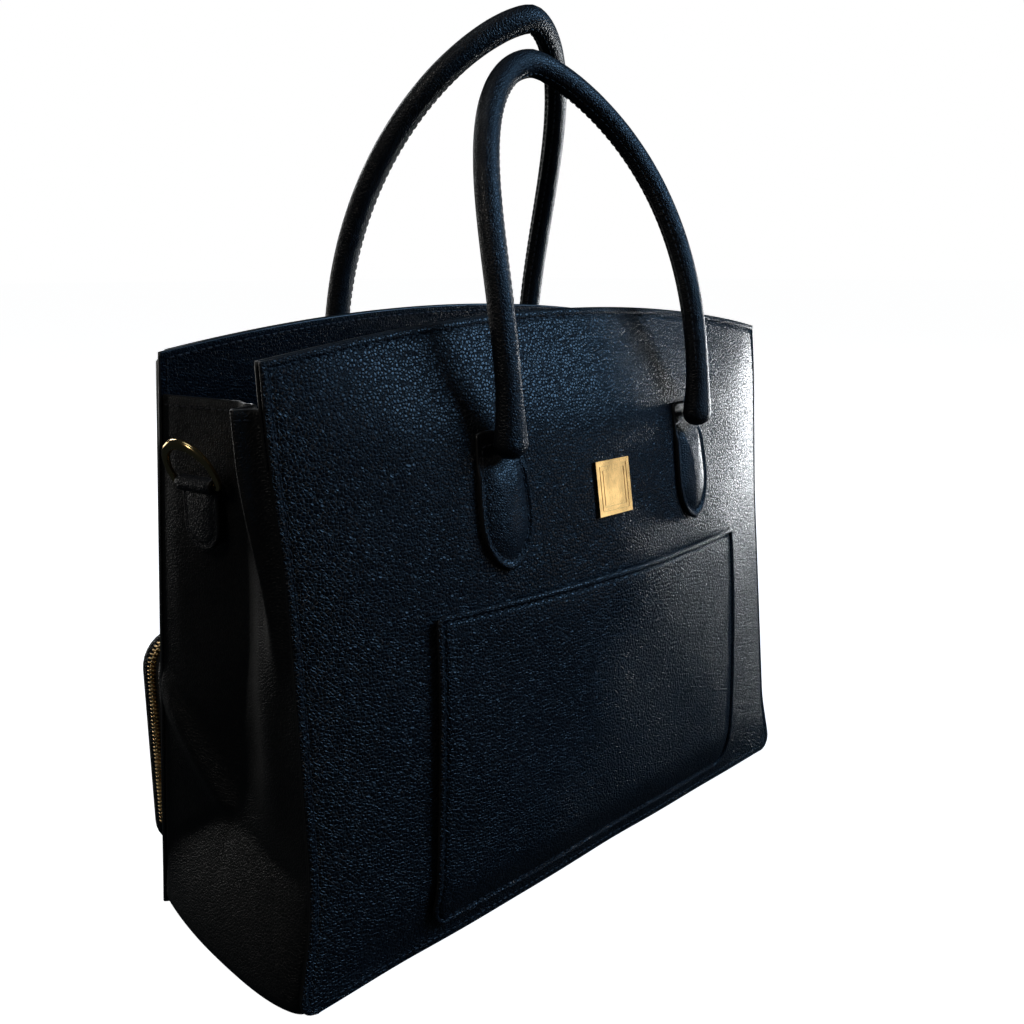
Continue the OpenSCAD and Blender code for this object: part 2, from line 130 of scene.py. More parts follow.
class Shader:
    """A node material around one Principled shader."""

    def __init__(self, name, colour, roughness, **fixed):
        self.material = bpy.data.materials.new(name)
        self.material.use_nodes = True
        self.tree = self.material.node_tree
        self.principled = self.tree.nodes["Principled BSDF"]
        for socket, value in {"Base_Color": (*colour, 1), "Roughness": roughness, **fixed}.items():
            self.principled.inputs[socket.replace("_", " ")].default_value = value
        self.place = self.node("ShaderNodeTexCoord").outputs["Object"]

    def link(self, source, socket):
        self.tree.links.new(source, self.principled.inputs[socket])

    def node(self, kind, inputs=(), **settings):
        """Adds a node. inputs is a dict of socket name or number to a value or an output."""
        made = self.tree.nodes.new(kind)
        for key, value in settings.items():
            setattr(made, key, value)
        for key, value in dict(inputs).items():
            if isinstance(value, bpy.types.NodeSocket):
                self.tree.links.new(value, made.inputs[key])
            else:
                made.inputs[key].default_value = value
        return made

    def math(self, operation, a, b=0.0, c=0.0):
        return self.node("ShaderNodeMath", {0: a, 1: b, 2: c}, operation=operation).outputs[0]

    def vector(self, operation, inputs):
        return self.node("ShaderNodeVectorMath", inputs, operation=operation).outputs[0]

    def noise(self, scale, detail=2.0, roughness=0.5, vector=None):
        inputs = {"Vector": vector or self.place, "Scale": scale, "Detail": detail, "Roughness": roughness}
        return self.node("ShaderNodeTexNoise", inputs).outputs["Fac"]

    def voronoi(self, inputs, feature="F1"):
        inputs = {"Vector": self.place, **inputs}
        return self.node("ShaderNodeTexVoronoi", inputs, feature=feature).outputs["Distance"]

    def wave(self, direction, scale, distortion=0.0, detail=0.0, detail_scale=1.0):
        inputs = {"Vector": self.place, "Scale": scale, "Distortion": distortion, "Detail": detail,
                  "Detail Scale": detail_scale}
        return self.node("ShaderNodeTexWave", inputs, bands_direction=direction).outputs["Fac"]

    def between(self, fac, low, high, start=0.0, end=1.0):
        """Maps fac from start..end onto low..high."""
        inputs = {"Value": fac, "From Min": start, "From Max": end, "To Min": low, "To Max": high}
        return self.node("ShaderNodeMapRange", inputs).outputs["Result"]

    def tint(self, fac, a, b):
        """Base colour a where fac is 0 and b where it is 1."""
        inputs = {"Factor": fac, 6: (*a, 1), 7: (*b, 1)}
        self.link(self.node("ShaderNodeMix", inputs, data_type="RGBA").outputs[2], "Base Color")

    def bump(self, height, distance_mm, strength=1.0):
        inputs = {"Height": height, "Distance": distance_mm * MM, "Strength": strength}
        self.link(self.node("ShaderNodeBump", inputs).outputs[0], "Normal")


def shade(colour, factor):
    return [c * factor for c in colour]


# The default colour is black tinted navy: painted blue window light on the leather, not the leather's own
# colour.
def leather_material(name, grain_mm, depth_mm, low=0.27, high=0.60,
                     colour=(0.0020, 0.0036, 0.0075), shine=0.5):
    """Pebbled synthetic leather: raised pebbles with creases between them."""
    made = Shader(name, colour, 0.45, Specular_IOR_Level=shine)
    drift = made.node("ShaderNodeTexNoise", {"Vector": made.place, "Scale": 260.0, "Detail": 1.0})
    shift = made.vector("SUBTRACT", {0: drift.outputs["Color"], 1: (0.5, 0.5, 0.5)})
    shift = made.vector("SCALE", {0: shift, "Scale": 0.0009})
    warped = made.vector("ADD", {0: made.place, 1: shift})
    cells = {"Vector": warped, "Scale": 1000.0 / grain_mm, "Randomness": 0.92}
    crease = made.between(made.voronoi(cells, "DISTANCE_TO_EDGE"), 0.0, 1.0, 0.0, 0.20)
    domes = made.voronoi({**cells, "Smoothness": 0.6}, "SMOOTH_F1")
    pebble = made.math("MULTIPLY_ADD", domes, -0.55, crease)
    made.bump(made.math("MULTIPLY_ADD", made.noise(2600.0), 0.05, pebble), depth_mm)
    wide = made.noise(34.0, 3.0)
    # Base colour: painted shade, darker in the creases between pebbles and lighter on their tops, with a
    # random tone from the wide noise.
    made.tint(made.math("MULTIPLY", crease, wide), shade(colour, 0.45), shade(colour, 1.5))
    gloss = made.math("MULTIPLY_ADD", crease, low - high, high)
    made.link(made.math("MULTIPLY_ADD", wide, 0.10, gloss), "Roughness")
    return made.material


def edge_material():
    """Smooth dark edge paint on cut and folded leather."""
    made = Shader("edge_paint", (0.012, 0.012, 0.013), 0.36, Coat_Weight=0.25, Coat_Roughness=0.25)
    made.link(made.between(made.noise(420.0, 3.0), 0.28, 0.5), "Roughness")
    made.tint(made.noise(150.0), (0.008, 0.008, 0.009), (0.02, 0.019, 0.018))
    made.bump(made.noise(900.0), 0.08)
    return made.material


def gold_material(name, colour, rough):
    made = Shader(name, colour, rough, Metallic=1.0)
    smudge = made.noise(120.0, 3.0)
    made.link(made.between(smudge, rough * 0.8, rough * 1.7, 0.3, 0.75), "Roughness")
    made.tint(smudge, colour, shade(colour, 0.82))
    brushed = made.node("ShaderNodeMapping", {"Vector": made.place, "Scale": (40, 4, 4)}).outputs[0]
    made.bump(made.noise(60.0, 4.0, vector=brushed), 0.02, 0.6)
    return made.material


def weave_material(name, colour, thread_mm, depth_mm):
    """Plain weave: crossed rows of threads."""
    made = Shader(name, colour, 0.85)
    x, y, z = [made.wave(direction, 50.0 / thread_mm, 0.6) for direction in "XYZ"]
    crossed = made.math("MULTIPLY", made.math("MULTIPLY", x, y), z)
    crossed = made.math("ADD", crossed, made.math("MULTIPLY", made.noise(700.0), 0.3))
    made.bump(crossed, depth_mm)
    made.tint(crossed, shade(colour, 0.6), shade(colour, 2.0))
    return made.material


def webbing_material():
    """Close ribbed webbing, its ribs running across the strap."""
    made = Shader("black_webbing", (0.012, 0.012, 0.015), 0.7, Sheen_Weight=0.25, Sheen_Roughness=0.4)
    ribs = made.wave("Z", 42.0, 1.2, 1.0, 8.0)
    warp = made.wave("Y", 34.0, 2.0, 1.0, 8.0)
    cloth = made.math("MULTIPLY", ribs, made.between(warp, 0.35, 1.0))
    made.bump(cloth, 0.3)
    made.tint(cloth, (0.006, 0.006, 0.008), (0.03, 0.03, 0.036))
    return made.material


def foil_material():
    """Crinkled silver insulation film."""
    made = Shader("silver_film", (0.74, 0.77, 0.81), 0.24, Metallic=0.92)
    wrinkle = made.math("MULTIPLY_ADD", made.voronoi({"Scale": 240.0}), 0.35, made.voronoi({"Scale": 75.0}))
    made.bump(made.math("ADD", made.noise(55.0, 5.0, 0.6), wrinkle), 2.2, 0.8)
    made.link(made.between(made.noise(90.0), 0.18, 0.38), "Roughness")
    made.tint(made.noise(16.0), (0.64, 0.68, 0.74), (0.82, 0.84, 0.86))
    return made.material


def film_material():
    """Wipe-clean film inside the flap."""
    made = Shader("taupe_film", (0.15, 0.125, 0.115), 0.42)
    cloud = made.noise(14.0, 3.0)
    made.tint(cloud, (0.125, 0.103, 0.095), (0.18, 0.152, 0.14))
    made.link(made.between(cloud, 0.34, 0.5), "Roughness")
    made.bump(made.noise(1400.0), 0.05)
    return made.material


def thread_material():
    colour = (0.012, 0.013, 0.018)
    made = Shader("black_thread", colour, 0.5, Sheen_Weight=0.2)
    twist = made.wave("DIAGONAL", 160.0)
    made.bump(twist, 0.12)
    made.tint(twist, shade(colour, 0.6), shade(colour, 1.6))
    return made.material


LEATHER = leather_material("pebbled_leather", grain_mm=1.8, depth_mm=0.36)
FACING_LEATHER = leather_material("facing_leather", grain_mm=1.75, depth_mm=0.25, shine=0.16)
# The gussets' copy of the same leather in a neutral black, without the navy painted blue light of the other
# pieces.
SIDE_LEATHER = leather_material("side_leather", 1.5, 0.13, 0.36, 0.52, (0.0038, 0.0040, 0.0042))
TRIM_LEATHER = leather_material("trim_leather", grain_mm=1.4, depth_mm=0.16)
HANDLE_LEATHER = leather_material("handle_leather", grain_mm=1.5, depth_mm=0.15, low=0.30, high=0.5)
EDGE = edge_material()
GOLD = gold_material("gold_plate", (0.86, 0.60, 0.27), 0.14)
ZIP_GOLD = gold_material("zip_gold", (0.80, 0.53, 0.22), 0.24)
LINING = weave_material("lining_cloth", (0.028, 0.028, 0.032), thread_mm=0.7, depth_mm=0.12)
TAPE = weave_material("zip_tape_cloth", (0.011, 0.011, 0.012), thread_mm=0.9, depth_mm=0.2)
WEBBING = webbing_material()
FOIL = foil_material()
FILM = film_material()
THREAD = thread_material()
SLOTS = {       # the slot of each material; all others are leather or its thread
    GOLD.name: "gold_metal", ZIP_GOLD.name: "gold_zip", LINING.name: "lining", TAPE.name: "zip_tape",
    WEBBING.name: "webbing", FOIL.name: "silver_foil", FILM.name: "flap_lining",
}


# ---- mesh tools

RIM_STEPS = 4                   # faces round a sheet's rim
THREAD_W, THREAD_H, THREAD_SIDES = 0.8, 0.62, 6


def unit(v):
    v = np.asarray(v, float)
    return v / np.maximum(np.linalg.norm(v, axis=-1, keepdims=True), 1e-9)


def smooth_step(t):
    t = np.clip(t, 0, 1)
    return t * t * (3 - 2 * t)


def make(name, points, faces, materials, body, kinds=None, replaces=()):
    """Makes a piece from points in mm, its slot being that of its first material. kinds gives each face's
    material. With no body, the piece is attached to none."""
    mesh = bpy.data.meshes.new(name)
    mesh.from_pydata((np.asarray(points, float) * MM).tolist(), [], [tuple(int(i) for i in f) for f in faces])
    for material in materials:
        mesh.materials.append(material)
    if kinds is not None:
        mesh.polygons.foreach_set("material_index", np.asarray(kinds, np.int32))
    mesh.polygons.foreach_set("use_smooth", [True] * len(mesh.polygons))
    mesh.update()
    piece = add_object(name, mesh)
    if body:
        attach(piece, body)
    if replaces:
        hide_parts(*replaces)
    return piece


def grid_faces(rows, columns, wrap=False):
    """Faces of a grid of rows by columns points; wrap joins its last column to its first."""
    j, i = np.meshgrid(np.arange(rows - 1), np.arange(columns if wrap else columns - 1), indexing="ij")
    k = (i + 1) % columns
    quads = np.stack([j * columns + i, j * columns + k, (j + 1) * columns + k, (j + 1) * columns + i], -1)
    return quads.reshape(-1, 4)


def capped_faces(count, around):
    """Faces of a tube of count rings, closed at both ends."""
    caps = [list(range(around))[::-1], [(count - 1) * around + i for i in range(around)]]
    return grid_faces(count, around, wrap=True).tolist() + caps


def grid_normals(grid, wrap=False):
    along = np.roll(grid, -1, 1) - np.roll(grid, 1, 1) if wrap else np.gradient(grid, axis=1)
    return unit(np.cross(along, np.gradient(grid, axis=0)))


def shell(grid, thick, wrap=False, rim=0.32):
    """Closed sheet of a given thickness behind a grid, with rounded rims.
    Returns points, faces, and which faces are rim (1)."""
    rows, columns = grid.shape[:2]
    count = rows * columns
    normals = grid_normals(grid, wrap)
    points = [grid.reshape(-1, 3), (grid - normals * thick).reshape(-1, 3)]
    sheet = grid_faces(rows, columns, wrap)
    faces = [sheet, (sheet + count)[:, ::-1]]
    kinds = [np.zeros(2 * len(sheet))]
    if wrap:
        loops = [([(0, i) for i in range(columns)], 1), ([(rows - 1, i) for i in range(columns)], -1)]
    else:
        loop = [(0, i) for i in range(columns)] + [(j, columns - 1) for j in range(1, rows)]
        loop += [(rows - 1, i) for i in range(columns - 2, -1, -1)] + [(j, 0) for j in range(rows - 2, 0, -1)]
        loops = [(loop, 1)]
    total = 2 * count
    for loop, turn in loops:
        j, i = np.array(loop).T
        dj = np.where(j == 0, 1, np.where(j == rows - 1, -1, 0))
        di = np.zeros_like(i) if wrap else np.where(i == 0, 1, np.where(i == columns - 1, -1, 0))
        edge = grid[j, i]
        out = unit(edge - grid[j + dj, i]) * (dj != 0)[:, None]
        out = unit(out + unit(edge - grid[j, i + di]) * (di != 0)[:, None])
        rings = [j * columns + i]
        for angle in math.pi * np.arange(1, RIM_STEPS) / RIM_STEPS:
            back = normals[j, i] * thick * (1 - math.cos(angle)) / 2
            points.append(edge + out * rim * thick * math.sin(angle) - back)
            rings.append(total + np.arange(len(loop)))
            total += len(loop)
        rings.append(rings[0] + count)
        for a, b in zip(rings, rings[1:]):
            faces.append(np.stack([a, b, np.roll(b, -1), np.roll(a, -1)], -1)[:, ::turn])
            kinds.append(np.ones(len(loop)))
    return np.concatenate(points), np.concatenate(faces), np.concatenate(kinds).astype(int)


def sheet_piece(name, grid, thick, material=LEATHER, replaces=(), body="bag", wrap=False,
                rim_material=None, rim=0.32):
    """A sheet. Leather has painted rims, and any other material covers its rims itself."""
    points, faces, kinds = shell(np.asarray(grid, float), thick, wrap, rim)
    rim_material = rim_material or (material if material.name in SLOTS else EDGE)
    return make(name, points, faces, [material, rim_material], body, kinds, replaces)


def path_frames(path, side, closed=False):
    """Tangents, across directions and normals of a path; side is roughly its normal."""
    path = np.asarray(path, float)
    ahead = np.roll(path, -1, 0) - np.roll(path, 1, 0) if closed else np.gradient(path, axis=0)
    tangent = unit(ahead)
    across = unit(np.cross(tangent, side))
    return tangent, across, unit(np.cross(across, tangent))


def resample(path, pitch, closed=False):
    """Even places along a path, and the path's own index (with fraction) at each."""
    path = np.asarray(path, float)
    if closed:
        path = np.vstack([path, path[:1]])
    steps = np.linalg.norm(np.diff(path, axis=0), axis=1)
    length = np.concatenate([[0], np.cumsum(steps)])
    count = max(2, int(round(length[-1] / pitch)))
    want = (np.arange(count) + 0.5) * length[-1] / count
    index = np.interp(want, length, np.arange(len(path)))
    places = np.stack([np.interp(want, length, path[:, k]) for k in range(3)], -1)
    return places, index


def pick(values, index):
    """Values at fractional indices along a path, wrapping past its end."""
    values = np.asarray(values, float)
    low = np.floor(index).astype(int) % len(values)
    part = (index - np.floor(index))[:, None]
    return values[low] * (1 - part) + values[(low + 1) % len(values)] * part


def scatter(template, faces, places, tangent, across, normal):
    """Copies of a small shape set along a path: x along it, y across it, z out of it."""
    turned = template @ np.stack([tangent, across, normal], 1) + places[:, None]
    faces = [[i + k * len(template) for i in f] for f in faces for k in range(len(places))]
    return turned.reshape(-1, 3), faces


def capsule(length):
    """One stitch: a thread as long as length, thin at both ends."""
    a = 2 * math.pi * np.arange(THREAD_SIDES) / THREAD_SIDES
    rings = []
    for t in (0.0, 0.12, 0.3, 0.7, 0.88, 1.0):
        swell = max(0.12, math.sqrt(1 - (2 * t - 1) ** 4))
        y, z = THREAD_W / 2 * swell * np.cos(a), THREAD_H / 2 * swell * np.sin(a)
        rings.append(np.stack([np.full(THREAD_SIDES, (t - 0.5) * length), y, z], -1))
    return np.concatenate(rings), capped_faces(len(rings), THREAD_SIDES)


def stitches(name, path, outward, body="bag", pitch=4.4, closed=False, lift=0.15, length=3.3):
    """A row of stitches lying on a surface along a path. outward is the surface normal there."""
    path = np.asarray(path, float)
    frames = path_frames(path, np.broadcast_to(outward, path.shape), closed)
    places, index = resample(path, pitch, closed)
    frames = [unit(pick(v, index)) for v in frames]
    points, faces = scatter(*capsule(length), places + frames[2] * lift, *frames)
    return make(name, points, faces, [THREAD], body)


def tube(path, section, side=(0, 1, 0), closed=False):
    """Sweeps section(k), n by 2 offsets (across, normal), along a path that is closed or has capped ends."""
    path = np.asarray(path, float)
    _, across, normal = path_frames(path, np.broadcast_to(side, path.shape), closed)
    rings = []
    for k in range(len(path)):
        profile = np.asarray(section(k))
        rings.append(path[k] + profile[:, 0:1] * across[k] + profile[:, 1:2] * normal[k])
    rings = np.array(rings)
    count, around = rings.shape[:2]
    faces = capped_faces(count, around)
    if closed:
        last = (count - 1) * around
        faces[-2:] = [[last + i, last + (i + 1) % around, (i + 1) % around, i] for i in range(around)]
    return rings.reshape(-1, 3), [f[::-1] for f in faces]


def through(corners, count):
    """Points on the straight lines from corner to corner."""
    return np.concatenate([np.linspace(p, q, count)[:-1] for p, q in zip(corners, corners[1:])])


def upright(points, y):
    """Points (x, z) set upright at y."""
    x, z = np.asarray(points, float).T
    return np.stack(np.broadcast_arrays(x, y, z), -1)


# ---- the body's surfaces, as in the CAD

PANEL_LOW, PANEL_HIGHEST = box_mm("front_panel")
BASE_W = float(PANEL_HIGHEST[0] - PANEL_LOW[0])
MID_H = float(PANEL_HIGHEST[2])
BASE_D = 2 * float(box_mm("back_panel")[1][1])
TOP_W, TOP_D, EDGE_H = 404.0, 92.0, 312.0
FRONT_BOW, SWELL_PEAK = 24.0, 0.6
GUSSET_TOP = float(box_mm("left_gusset")[1][2])
LEATHER_T, PANEL_T, GUSSET_T = 2.4, 5.0, 2.2
LINING_T = 1.9
FACING_Z = 264.0                # the inner leather facing reaches down to here
HALF_PANEL, PANEL_HIGH = 205.0, 300.0       # rough sizes that space a panel's points


def half_w(z):
    return (BASE_W + (TOP_W - BASE_W) * z / EDGE_H) / 2


def half_d(z):
    return (BASE_D + (TOP_D - BASE_D) * z / EDGE_H) / 2


def ripple(x, z):
    """Slight unevenness of a stretched panel."""
    wide = 0.45 * np.sin(x / 43 + z / 57) + 0.35 * np.sin(x / 27 - z / 71 + 1.3)
    return wide + 0.2 * np.sin(x / 15 + z / 19)


def stand_out(x, z):
    return 8 * smooth_step(z / 45) * smooth_step((MID_H - z) / 64) * (1 - np.abs(x / half_w(z)) ** 6)


def bowed_y(x, z):
    """The front panel's y without its ripple."""
    swell = 1 - (z / EDGE_H / SWELL_PEAK - 1) ** 2
    return -half_d(z) - FRONT_BOW * swell * (1 - (x / half_w(z)) ** 2) - stand_out(x, z)


def front_y(x, z):
    return bowed_y(x, z) + ripple(x, z) * np.clip(2 - 2 * (x / half_w(z)) ** 2, 0, 1)


def back_y(x, z):
    middle = np.clip(1 - (x / half_w(z)) ** 2, 0, 1)
    above_cooler = np.clip((z - 190) / 60, 0, 1) * np.clip((MID_H - z) / 40, 0, 1)
    return half_d(z) + middle * above_cooler * (1.2 + ripple(x + 90, z + 40))


def crown(x):
    return EDGE_H + (MID_H - EDGE_H) * (1 - (2 * x / TOP_W) ** 2)


def corner_cut(rise, radius):
    """How far a rounded corner cuts into a side, at a height above the edge below it."""
    inside = np.clip(radius - rise, 0, radius)
    return radius - np.sqrt(radius ** 2 - inside ** 2)


def rows_with_corner(count, height, radius):
    """Heights from 0 to height, close together over a corner's radius."""
    turn = radius * (1 - np.cos(np.linspace(0, math.pi / 2, 9)))
    return np.concatenate([turn[:-1], np.linspace(radius, height, count)])


def front_point(x, z, out=0.0):
    return np.stack(np.broadcast_arrays(x, front_y(x, z) - out, z), -1).astype(float)


def back_point(x, z, out=0.0):
    return np.stack(np.broadcast_arrays(x, back_y(x, z) + out, z), -1).astype(float)


# ---- panels

PANEL_CORNER = 11.0
FORWARD, BACKWARD = (0, -1, 0), (0, 1, 0)
EDGE_STEPS = np.array([0, 0.9, 1.8, 2.6, 3.3, 4.0, 4.7, 5.6, 7.0, 9.0])


def columns_across(half, count):
    """Places from -1 to 1 across a piece, close together near both edges."""
    edge = 1 - EDGE_STEPS / half
    return np.concatenate([-edge, np.linspace(-edge[-1], edge[-1], count)[1:-1], edge[::-1]])


def ridge(distance, width):
    return np.exp(-(distance / width) ** 2)


def sewn_edge(distance):
    """A rounded, slightly proud edge with a groove where its stitches pull it in."""
    return 0.55 * ridge(distance - 1.6, 1.3) - 0.65 * ridge(distance - 3.9, 0.9)


COLUMNS = columns_across(HALF_PANEL, 84)


def draw_in(x, z):
    """How far a front edge is drawn in where its panel bows, and the left foot spreads."""
    waist = 5.0 * smooth_step(z / 50) * smooth_step((300 - z) / 120)
    foot = 7.0 * np.clip(1 - z / 75, 0, 1) ** 1.4 * (x < 0) + 1.5 * np.clip(1 - z / 40, 0, 1) * (x > 0)
    return waist - foot


def panel_half(x, z, front):
    return half_w(z) - (draw_in(x, z) if front else 0)


def panel_grid(surface, depth, z0=0.0):
    """Grid over a whole panel, or over the part of it above z0."""
    low = rows_with_corner(56, PANEL_HIGH - EDGE_STEPS[-1], PANEL_CORNER)
    share = np.append(low, PANEL_HIGH - EDGE_STEPS[-2::-1]) / PANEL_HIGH if z0 == 0 else np.linspace(0, 1, 20)
    u, v = np.meshgrid(COLUMNS, share)
    z = z0 + (crown(u * TOP_W / 2) - z0) * v
    from_edge = np.minimum((1 - np.abs(u)) * HALF_PANEL, (1 - v) * PANEL_HIGH)
    sewn = sewn_edge(from_edge) * smooth_step(z / 12) if depth == 0 else 0
    grid = surface(u * half_w(z), z, sewn - depth)
    grid[..., 0] = u * (panel_half(u, z, surface is front_point) - corner_cut(z, PANEL_CORNER) * (z0 == 0))
    return grid


def panel_outline(inset, surface, out, z_low=14.0):
    """Up the left edge, over the crown and down the right edge."""
    rise = np.linspace(z_low, EDGE_H - inset, 40)
    arch = np.linspace(-TOP_W / 2 + inset, TOP_W / 2 - inset, 60)
    x = np.concatenate([-(half_w(rise) - inset), arch, (half_w(rise) - inset)[::-1]])
    z = np.concatenate([rise, crown(arch) - inset, rise[::-1]])
    line = surface(x, z, out)
    if surface is front_point:
        line[:40, 0] += draw_in(-1, rise)
        line[-40:, 0] -= draw_in(1, rise[::-1])
    return line


def add_front():
    sheet_piece("front_leather", panel_grid(front_point, 0), LEATHER_T, replaces=["front_panel"])
    sheet_piece("front_facing", panel_grid(front_point, LEATHER_T + 0.2, FACING_Z), LEATHER_T, FACING_LEATHER)
    cloth = panel_grid(front_point, LEATHER_T + 0.3)[:, 1:-1]
    sheet_piece("front_lining_cloth", cloth[:-9], LINING_T, LINING, ["front_stiffener", "front_lining"],
                rim_material=EDGE)
    stitches("front_edge_stitches", panel_outline(3.9, front_point, -0.6), FORWARD)
    stitches("front_facing_stitches", panel_outline(3.4, front_point, -PANEL_T - 0.1, FACING_Z + 6), BACKWARD)
    bottom = np.linspace(-BASE_W / 2 + 16, BASE_W / 2 - 16, 50)
    stitches("front_foot_stitches", front_point(bottom, 4.0), FORWARD)


def outline_points(out=0.0, arch=False, step=4.0):
    """The cooler's rounded outline, clockwise from behind: points (x, z) and outward normals."""
    low, high = box_mm("flap_panel")
    radius, x_side = 20.0, high[0]
    points, normals = [], []

    def line(x0, z0, x1, z1, normal):
        count = max(2, int(math.hypot(x1 - x0, z1 - z0) / step))
        for t in np.arange(count) / count:
            points.append((x0 + (x1 - x0) * t, z0 + (z1 - z0) * t))
            normals.append(normal)

    def bend(x, z, start):
        for t in np.arange(8) / 8:
            a = math.radians(start - 90 * t)
            points.append((x + radius * math.cos(a), z + radius * math.sin(a)))
            normals.append((math.cos(a), math.sin(a)))

    x_in, z0, z1 = x_side - radius, low[2] + radius, high[2] - radius
    line(-x_side, z0, -x_side, z1, (-1, 0))
    bend(-x_in, z1, 180)
    line(-x_in, high[2], x_in, high[2], (0, 1))
    bend(x_in, z1, 90)
    line(x_side, z1, x_side, z0, (1, 0))
    if arch:
        points.append((x_side, z0))
        normals.append((1, 0))
    else:
        bend(x_in, z0, 0)
        line(x_in, low[2], -x_in, low[2], (0, -1))
        bend(-x_in, z0, -90)
    points, normals = np.array(points), np.array(normals, float)
    return points + normals * out, normals


def outline_sweep(profile):
    """Grid swept round the outline. profile is (out, y) points."""
    return np.array([upright(outline_points(out)[0], y) for out, y in profile])


def shrunk(loop, share, y):
    """A loop of outline points drawn in towards its middle."""
    middle = (loop.max(0) + loop.min(0)) / 2
    ring = middle + (loop - middle) * share
    ring[:, 1] = y
    return ring


def add_back():
    hole = outline_points(-1.0)[0]
    low, high = box_mm("flap_panel")
    middle = (low[2] + high[2]) / 2
    half_high = 66.5
    angle = np.arctan2((hole[:, 1] - middle) / half_high, hole[:, 0] / (high[0] - 1.0))
    u, v = np.cos(angle), np.sin(angle)
    u, v = np.array([u, v]) / np.maximum(np.abs(u), np.abs(v))
    outer_z = middle + np.where(v > 0, crown(u * TOP_W / 2) - middle, middle) * v
    outer = np.stack([u * half_w(outer_z), outer_z], -1)
    rows = [(outer * t + hole * (1 - t)).T for t in np.linspace(1, 0, 42) ** 1.3]
    leather = np.array([back_point(x, z) for x, z in rows])
    sheet_piece("back_leather", leather, LEATHER_T, replaces=["back_panel"], wrap=True)
    inset, depth = 1.2, LEATHER_T + 0.2
    draw = 1 - inset / HALF_PANEL
    cloth = np.array([back_point(x * draw, z - inset * np.sign(z - middle), -depth) for x, z in rows])
    sheet_piece("back_lining_cloth", cloth, LINING_T, LINING, ["back_stiffener", "back_lining"], wrap=True,
                rim_material=EDGE)
    sheet_piece("back_facing", panel_grid(back_point, depth, FACING_Z)[:, ::-1], LEATHER_T, FACING_LEATHER)
    stitches("back_edge_stitches", panel_outline(3.9, back_point, 0), BACKWARD)
    stitches("back_facing_stitches", panel_outline(3.4, back_point, -PANEL_T - 0.1, FACING_Z + 6), FORWARD)
    seam = np.linspace(-TOP_W / 2 + 12, TOP_W / 2 - 12, 60)
    stitches("back_facing_hem", back_point(seam, FACING_Z + 3, -PANEL_T - 0.1), FORWARD)


# ---- gussets

PINCH = 0.58                    # share from front to back where a gusset's creases meet
GUSSET_LEVELS = (60, 115, 165, 230, 291)
GUSSET_CORNER = 9.0


def tent(s, peak, power):
    side = np.where(s < peak, s / peak, (1 - s) / (1 - peak))
    return np.clip(side, 0, 1) ** power


def gusset_fold(s, z, side):
    """How far a gusset folds in, at a share s from front to back and a height z."""
    rear = smooth_step((s - PINCH) / (1 - PINCH))
    crease_z = np.where(s < PINCH, 62 + 8 * smooth_step(s / PINCH), 70 - 25 * rear)
    spread = (12.5 if side < 0 else 3.0) * np.sin(math.pi * np.clip(s, 0, 1)) ** 0.5 * (1.15 - 0.5 * s)
    base = -spread + (8.5 * tent(s, PINCH, 0.85) + spread) * np.clip(z / crease_z, 0, 1) ** 1.6
    valley = np.interp(z, GUSSET_LEVELS, (PINCH, 0.52, 0.44, 0.40, 0.38))
    deep = np.interp(z, GUSSET_LEVELS, (8.5, 11.5, 11.5, 10.0, 9.0))
    upper = deep * tent(s, valley, 1.5)
    upper -= 4.2 * ridge(s - 0.22, 0.12) * smooth_step((z - 70) / 40) * smooth_step((215 - z) / 60)
    ridge_s = PINCH + (z - 72) / 63 * 0.40
    upper -= 4.0 * ridge(s - ridge_s, 0.08) * smooth_step((155 - z) / 40) * smooth_step((z - 60) / 20)
    fold = base + (upper - base) * smooth_step((z - crease_z) / 15 + 0.4)
    fold -= 12.5 * ridge(s - 0.095, 0.055) * smooth_step((z - 140) / 130)
    fold += 3.0 * ridge(s - 0.20, 0.045) * smooth_step((z - 140) / 130)
    fold -= 0.6 * ridge(s - 0.88, 0.08) * smooth_step((z - 120) / 80)
    return fold + 0.6 * np.sin(z / 17 + 5 * s) * tent(s, 0.5, 1)


def gusset_grid(side, depth, z_high=GUSSET_TOP, inset=0.0):
    s, z = np.meshgrid(np.linspace(0, 1, 81), rows_with_corner(96, z_high, GUSSET_CORNER))
    reach = half_d(z) - LEATHER_T - 0.3 - inset
    seam = draw_in(side, z) * (1 - s) ** 2
    x = half_w(z) - 1 - seam - gusset_fold(s, z, side) - corner_cut(z, GUSSET_CORNER) - depth
    grid = np.stack([side * x, -reach + 2 * reach * s, z], -1)
    return grid if side > 0 else grid[:, ::-1]


def add_gusset(side, name):
    sheet_piece(f"{name}_leather", gusset_grid(side, 0), GUSSET_T, SIDE_LEATHER, [name])
    cloth = gusset_grid(side, GUSSET_T + 0.2, FACING_Z, inset=2.6)
    sheet_piece(f"{name}_cloth", cloth, 0.9, LINING, [f"{name}_lining"])
    hem = gusset_grid(side, 0, GUSSET_TOP - 4.5)[-1]
    stitches(f"{name}_hem_stitches", hem[3:-3], (side, 0, 0))


def add_base():
    high = box_mm("base_panel")[1]
    u, v = np.meshgrid(np.linspace(-1, 1, 61), np.linspace(1, -1, 25))
    near_edge = np.maximum(np.abs(u) - 0.975, 0) / 0.025 + np.maximum(np.abs(v) - 0.93, 0) / 0.07
    grid = np.stack([u * high[0], v * high[1], 0.15 + 2.2 * np.clip(near_edge, 0, 1) ** 2], -1)
    sheet_piece("base_leather", grid, 2.0, replaces=["base_panel"])
    for node in ("base_board", "base_lining"):
        paint(node, LINING)


